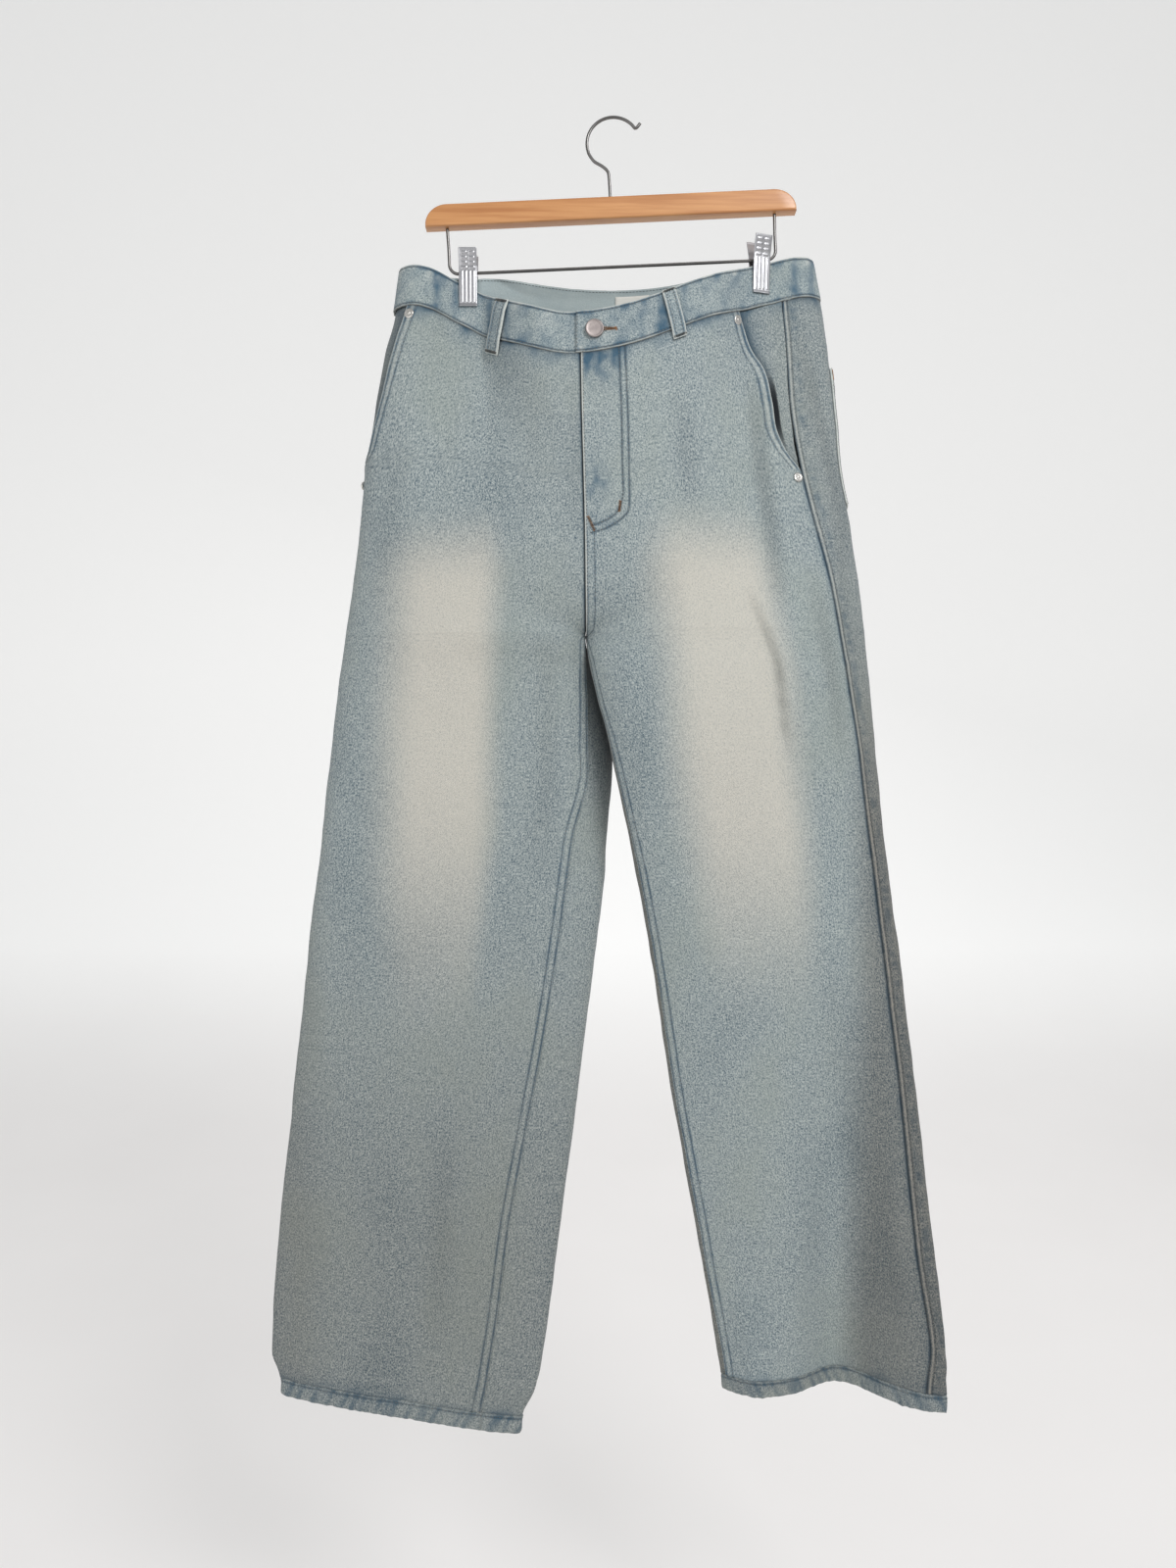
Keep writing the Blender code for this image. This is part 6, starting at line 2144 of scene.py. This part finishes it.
@dataclass
class Hanger:
    """The wooden bar, its hook, the wire frame below and the two sprung clips."""

    tilt: float = math.radians(2.6)
    centre: Triple = (-3.0, 0.0, -88.0)
    length: float = 356.0
    height: float = 21.0
    depth: float = 14.0
    edge: float = 1.8
    shoulder: float = 21.0
    foot: float = 2.0
    wire: float = 1.5
    hook_radius: float = 25.5
    hook_centre: Pair = (0.0, -24.0)
    half_width: float = 157.0
    drop: float = 54.7
    corner: float = 9.0
    clip_width: float = 17.5
    clip_top: float = 21.0
    clip_bottom: float = -33.0
    sheet: float = 1.1
    pivot: float = 4.9
    jaw: float = 3.1
    boss_columns: Pair = (-3.7, 3.7)
    boss_rows: tuple[float, ...] = (16.5, 12.1, 7.8, 3.6)
    rib_columns: tuple[float, ...] = (-5.6, -1.9, 1.9, 5.6)
    rib_middle: float = -14.6
    rib_reach: float = 14.2
    spring_turns: float = 6.5
    spring_length: float = 8.0
    spring_radius: float = 2.62
    neck: tuple[Pair, ...] = (
        (-3.6, -66.0), (-4.5, -54.0), (-6.1, -49.8), (-11.0, -45.5), (-18.5, -41.0))

    def tilted(self, x: float, z: float, y: float = 0.0) -> Triple:
        """Turn a point by the hanger's tilt about the bar's centre."""
        cosine, sine = math.cos(self.tilt), math.sin(self.tilt)
        return (self.centre[0] + x * cosine - z * sine, y, self.centre[2] + x * sine + z * cosine)

    def bar(self) -> bpy.types.Mesh:
        """Make the bar: its outline with elliptical shoulders and eased edges."""
        half, high = self.length / 2.0, self.height
        flat = half - self.shoulder
        shoulder = arc((-flat, self.foot - high / 2.0), (self.shoulder, high - self.foot),
                       180.0, 90.0, 16)
        end = [(-half, -high / 2.0)] + shoulder[1:]
        top = [(x, high / 2.0) for x in np.linspace(-flat, flat, 25)[1:-1]]
        under = [(x, -high / 2.0) for x in np.linspace(half, -half, 25)[1:-1]]
        points = np.array(end + top + [(-x, z) for x, z in reversed(end)] + under)
        after = np.roll(points, -1, axis=0) - points
        after = after / np.linalg.norm(after, axis=1, keepdims=True)
        before = np.roll(after, 1, axis=0)
        inward = np.stack([after[:, 1] + before[:, 1], -after[:, 0] - before[:, 0]], axis=1)
        inward = inward / np.linalg.norm(inward, axis=1, keepdims=True)
        inward = inward / np.maximum(np.abs(np.sum(inward * np.stack(
            [after[:, 1], -after[:, 0]], axis=1), axis=1, keepdims=True)), 0.5)
        edge = arc((self.edge, self.edge - self.depth / 2.0), (self.edge, self.edge), -90.0, -180.0, 5)
        stations = edge + [(inset, -y) for inset, y in reversed(edge)]
        rings = [[self.tilted(x, z, y) for x, z in points + inward * inset] for inset, y in stations]
        mesh = bpy.data.meshes.new("hanger_bar")
        shape = bmesh.new()
        layers = [[shape.verts.new(Vector(point) * MM) for point in ring] for ring in rings]
        count = len(points)
        for one, two in zip(layers[:-1], layers[1:]):
            for index in range(count):
                after_index = (index + 1) % count
                shape.faces.new((one[index], one[after_index], two[after_index], two[index]))
        shape.faces.new(layers[0][::-1])
        shape.faces.new(layers[-1])
        bmesh.ops.recalc_face_normals(shape, faces=shape.faces)
        shape.to_mesh(mesh)
        shape.free()
        mesh.shade_smooth()
        mesh.set_sharp_from_angle(angle=math.radians(35.0))
        return mesh

    def hook_path(self) -> Array:
        """Return the hook's path, from the bar round to its short turned out tip."""
        points = [(self.centre[0], self.tilted(0.0, self.height / 2.0)[2] + 0.5)]
        points += list(self.neck)
        points += arc(self.hook_centre, (self.hook_radius, self.hook_radius), 205.0, 36.0, 24)
        end_x, end_z = points[-1]
        points += [(end_x + 2.4, end_z + 1.2), (end_x + 5.0, end_z + 4.6)]
        path = smooth_path(points, 1.5)
        return np.stack([path[:, 0], np.zeros(len(path)), path[:, 1]], axis=1)

    def frame_path(self) -> Array:
        """Return the path of the wire frame, on which the clips slide."""
        half = [(-self.half_width - 0.5, -self.height / 2.0 - 0.4), (-self.half_width, -30.0)]
        half += arc((self.corner - self.half_width, self.corner - self.drop),
                    (self.corner, self.corner), 180.0, 270.0, 12)
        half += [(-110.0, -self.drop), (-70.0, -self.drop)]
        outline = half + [(0.0, -self.drop)] + [(-x, z) for x, z in reversed(half)]
        return np.array([self.tilted(x, z) for x, z in outline])

    def clip_frame(self, clip_x: float, turn: float) -> Matrix:
        """Return the place and turn of a clip, on the wire."""
        rise = math.tan(self.tilt) * (clip_x - self.centre[0])
        wire_z = self.centre[2] - self.drop / math.cos(self.tilt) + rise
        return Matrix.Translation(Vector((clip_x, 0.0, wire_z))) @ Matrix.Rotation(turn, 4, "Z")

    def plate(self, name: str, face: float, place: Matrix) -> Cloth:
        """Shape a clip's plate, pressed with bosses above and ribs below."""
        profile = np.array(((self.clip_top, 9.8), (self.clip_top - 2.0, 9.4),
                            (5.0, self.pivot + 0.6), (0.0, self.pivot), (-5.0, self.pivot - 0.2),
                            (-16.0, self.pivot - 0.9), (self.clip_bottom + 3.0, self.jaw),
                            (self.clip_bottom, self.jaw + 0.9)))
        z = np.linspace(self.clip_top, self.clip_bottom, 120)
        y = np.interp(-z, -profile[:, 0], profile[:, 1])
        x = np.linspace(-self.clip_width / 2.0, self.clip_width / 2.0, 48)
        grid_x, grid_z = np.meshgrid(x, z)
        raised = np.zeros(grid_x.shape)
        for boss_x in self.boss_columns:
            for boss_z in self.boss_rows:
                away = np.hypot(np.maximum(np.abs(grid_x - boss_x) - 1.5, 0.0), grid_z - boss_z)
                raised = raised + 0.55 * (1.0 - ease((away - 0.7) / 0.8))
        for rib_x in self.rib_columns:
            ends = np.maximum(np.abs(grid_z - self.rib_middle) - self.rib_reach, 0.0)
            away = np.hypot(grid_x - rib_x, ends)
            raised = raised + 0.5 * (1.0 - ease((away - 0.35) / 0.75))
        side = self.clip_width / 2.0 - np.abs(grid_x)
        raised = raised - 0.5 * bell(side, 0.45, 1.5)
        flat = np.stack([grid_x, face * np.broadcast_to(y[:, None], grid_x.shape), grid_z], axis=-1)
        slope = np.gradient(y, z)
        out = np.stack([np.zeros_like(y), np.full_like(y, face), -slope], axis=-1)
        out = (out / np.linalg.norm(out, axis=-1, keepdims=True))[:, None, :]
        turn, move = np.array(place.to_3x3()), np.array(place.translation)
        outer, inner = (part @ turn.T + move
                        for part in (flat + out * (self.sheet + raised)[..., None], flat))
        return Cloth(name, outer, inner, face, rim=0.0)

    def spring_path(self, place: Matrix) -> Array:
        """Return the path of the spring that lies round the wire, between the plates."""
        found = []
        for share in np.linspace(0.0, 1.0, 181).tolist():
            angle = math.tau * self.spring_turns * share
            point = Vector((self.spring_length * (share - 0.5), self.spring_radius * math.cos(angle),
                            self.spring_radius * math.sin(angle)))
            found.append(Matrix.Rotation(-self.tilt, 4, "Y") @ point + place.translation)
        return np.array(found)

    def build(self, finishes: Finishes) -> None:
        """Make every piece of the hanger."""
        add_piece("wooden_bar", self.bar(), finishes.wood, "wood", ("hanger_bar",))
        Wire("hook_wire", finishes.wire, self.wire, 20.0).add([self.hook_path()], "hanger_hook")
        Wire("frame_wire", finishes.wire, self.wire, 20.0).add([self.frame_path()], "hanger_frame")
        for side, (clip_x, turn) in zip(Side, FORM.clips()):
            place = self.clip_frame(clip_x, turn)
            for face_name, face in (("front", -1.0), ("back", 1.0)):
                node = "clip_" + side.value + "_" + face_name
                cloth = self.plate(node, face, place)
                add_piece("pressed_" + node, cloth.build(), finishes.chrome, "steel", (node,))
            Wire("spring_" + side.value, finishes.chrome, 0.55, 8.0).add(
                [self.spring_path(place)], "clip_" + side.value + "_barrel")


@dataclass
class Garment:
    """The jeans: panels, facings, pockets, waistband, hems, loops, label and sewing."""

    sewing: Sewing = field(default_factory=Sewing)
    skins: dict[str, Skin] = field(default_factory=dict)

    def add(self, cloth: Cloth, finishes: Finishes, slot: str = "denim") -> None:
        """Put one piece of cloth in the scene, in the place of its solid."""
        material = finishes.tape if slot == "label" else finishes.denim
        piece = add_piece("cloth_" + cloth.name, cloth.build(), material, slot, (cloth.name,))
        declare(cloth)

    def panels(self, finishes: Finishes) -> None:
        """Make the four panels and sew their seams."""
        for side in Side:
            for wall in Wall:
                panel = Panel(side, wall)
                cloth, skin = panel.build()
                self.skins[panel.name] = skin
                self.add(cloth, finishes)
                self._sew_panel(panel, skin)

    def _sew_panel(self, panel: Panel, skin: Skin) -> None:
        """Sew the rows of stitches beside a panel's seams."""
        levels = np.array(panel.levels())
        crotch, pocket, fly = (int(np.argmax(levels < level)) for level in
                               (FORM.crotch, FORM.pocket_end, FLY_ROWS[1][-1][1]))
        last = skin.outer.shape[1] - 1
        rows: list[tuple[int, int, int]] = []
        if panel.wall is Wall.FRONT:
            rows += [(column, crotch, len(levels)) for column in (2, 9)]
            rows += [(last - column, 0, pocket) for column in (4, 10)]
            if panel.side is Side.RIGHT:
                rows += [(2, 0, crotch), (9, fly, crotch)]
        elif panel.side is Side.RIGHT:
            rows += [(last - column, 0, crotch) for column in (2, 9)]
        for column, start, end in rows:
            self.sewing.column(skin, column, range(start, end), panel.wall)

    def fly(self) -> None:
        """Sew the two curved rows of the fly, and its bartacks."""
        skin = self.skins["front_right"]
        for row in FLY_ROWS:
            self.sewing.line(row, skin, Wall.FRONT)
        out = np.array([0.0, -1.0, 0.0])
        for start, end in (((5.0, -381.0), (4.2, -391.0)), ((-24.5, -395.0), (-18.5, -408.0))):
            found = [skin.project(*spot, Wall.FRONT) for spot in (start, end)]
            if found[0] is not None and found[1] is not None:
                self.sewing.tack(*found, out, 1.2)

    def build(self, finishes: Finishes) -> None:
        """Make every piece of cloth and its sewing."""
        self.panels(finishes)
        for side in Side:
            self.add(Facing(side).build(), finishes)
            pocket = BackPocket(side, self.skins["back_" + side.value])
            self.add(pocket.build(self.sewing), finishes)
            self.add(Hem(side).build(self.sewing), finishes, "denim_band")
        self.add(Waistband().build(self.sewing), finishes, "denim_band")
        for place in LOOP_PLACES:
            self.add(BeltLoop(place).build(self.sewing), finishes, "denim_band")
        self.add(Label().build(), finishes, "label")
        self.fly()
        Button().build(self.sewing, finishes)
        for name in RIVETS:
            Rivet(name).build(finishes)
        self.sewing.build(finishes)


@dataclass
class Studio:
    """The pale floor and sweep, soft light and the camera at the photo's angle."""

    floor: float = -1.62
    wall: float = 3.2
    half_width: float = 9.0
    curve: float = 1.4
    tone: Triple = (236, 236, 235)
    # Painted shade: the sheet's colour low down, darker towards the floor.
    painted_floor_shade: Triple = (188, 184, 183)
    glow: float = 0.32
    camera_place: Triple = (-0.0245, -1.134, -0.640)
    lens: float = 27.056

    def sweep(self) -> None:
        """Make the floor and the backdrop behind it as one curved sheet."""
        path = [(-9.0, self.floor), (self.wall - self.curve, self.floor)]
        path += arc((self.wall - self.curve, self.floor + self.curve), (self.curve, self.curve),
                    -90.0, 0.0, 16)[1:]
        path.append((self.wall, 6.0))
        points = [(x, y, z) for y, z in path for x in (-self.half_width, self.half_width)]
        faces = [(2 * i, 2 * i + 1, 2 * i + 3, 2 * i + 2) for i in range(len(path) - 1)]
        mesh = bpy.data.meshes.new("sweep")
        mesh.from_pydata(points, [], faces)
        mesh.shade_smooth()
        tree = ShaderTree("pale_paper")
        place = tree.place()
        speck = tree.noise(place, (3.0, 3.0, 3.0)) * 0.1 + 0.1
        height = tree.node("ShaderNodeSeparateXYZ", None, {0: place}, 2)
        # Painted shade: the sheet darkens towards the floor.
        tint = tree.mix(height.step(-1.75, -1.0) + speck, self.painted_floor_shade, self.tone)
        tree.finish(Emission_Color=srgb(*self.tone), Emission_Strength=self.glow)
        mesh.materials.append(tree.finish(Base_Color=tint, Roughness=0.9))
        sheet = bpy.data.objects.new("sweep", mesh)
        bpy.context.scene.collection.objects.link(sheet)

    def light(self, name: str, place: Triple, target: Triple, size: float, power: float) -> None:
        """Hang a soft light.

        Args:
            name: Its name.
            place: Where it hangs.
            target: What it points at.
            size: Its width and height.
            power: Its strength in watts.
        """
        lamp = bpy.data.lights.new(name, "AREA")
        lamp.shape = "SQUARE"
        lamp.size = size
        lamp.energy = power
        holder = bpy.data.objects.new(name, lamp)
        holder.location = place
        way = Vector(target) - Vector(place)
        holder.rotation_euler = way.to_track_quat("-Z", "Y").to_euler()
        holder.visible_camera = False
        bpy.context.scene.collection.objects.link(holder)

    def build(self) -> None:
        """Set up the floor, the lights, the world and the camera."""
        self.sweep()
        self.light("key", (1.05, -1.9, 0.9), (0.0, 0.0, -0.5), 0.9, 37.0)
        self.light("fill", (-1.7, -2.5, -0.5), (0.0, 0.0, -0.6), 2.0, 20.0)
        self.light("rear", (0.6, 2.0, 1.2), (0.0, 0.0, -0.6), 1.8, 26.0)
        world = bpy.data.worlds.new("pale_room")
        world.use_nodes = True
        ground = world.node_tree.nodes["Background"]
        ground.inputs["Color"].default_value = (0.86, 0.87, 0.88, 1.0)
        ground.inputs["Strength"].default_value = 0.5
        bpy.context.scene.world = world
        lens = bpy.data.cameras.new("camera")
        lens.lens = self.lens
        lens.sensor_width = 36.0
        lens.clip_end = 60.0
        camera = bpy.data.objects.new("camera", lens)
        camera.location = self.camera_place
        camera.rotation_euler = (math.radians(90.0), 0.0, 0.0)
        bpy.context.scene.collection.objects.link(camera)
        bpy.context.scene.camera = camera
        bpy.context.scene.view_settings.view_transform = "Standard"


def main() -> None:
    """Build the studio, the garment and the hanger."""
    logging.basicConfig(level=logging.INFO, format="%(message)s")
    Studio().build()
    finishes = Finishes()
    Garment().build(finishes)
    Hanger().build(finishes)


if __name__ == "__main__":
    main()
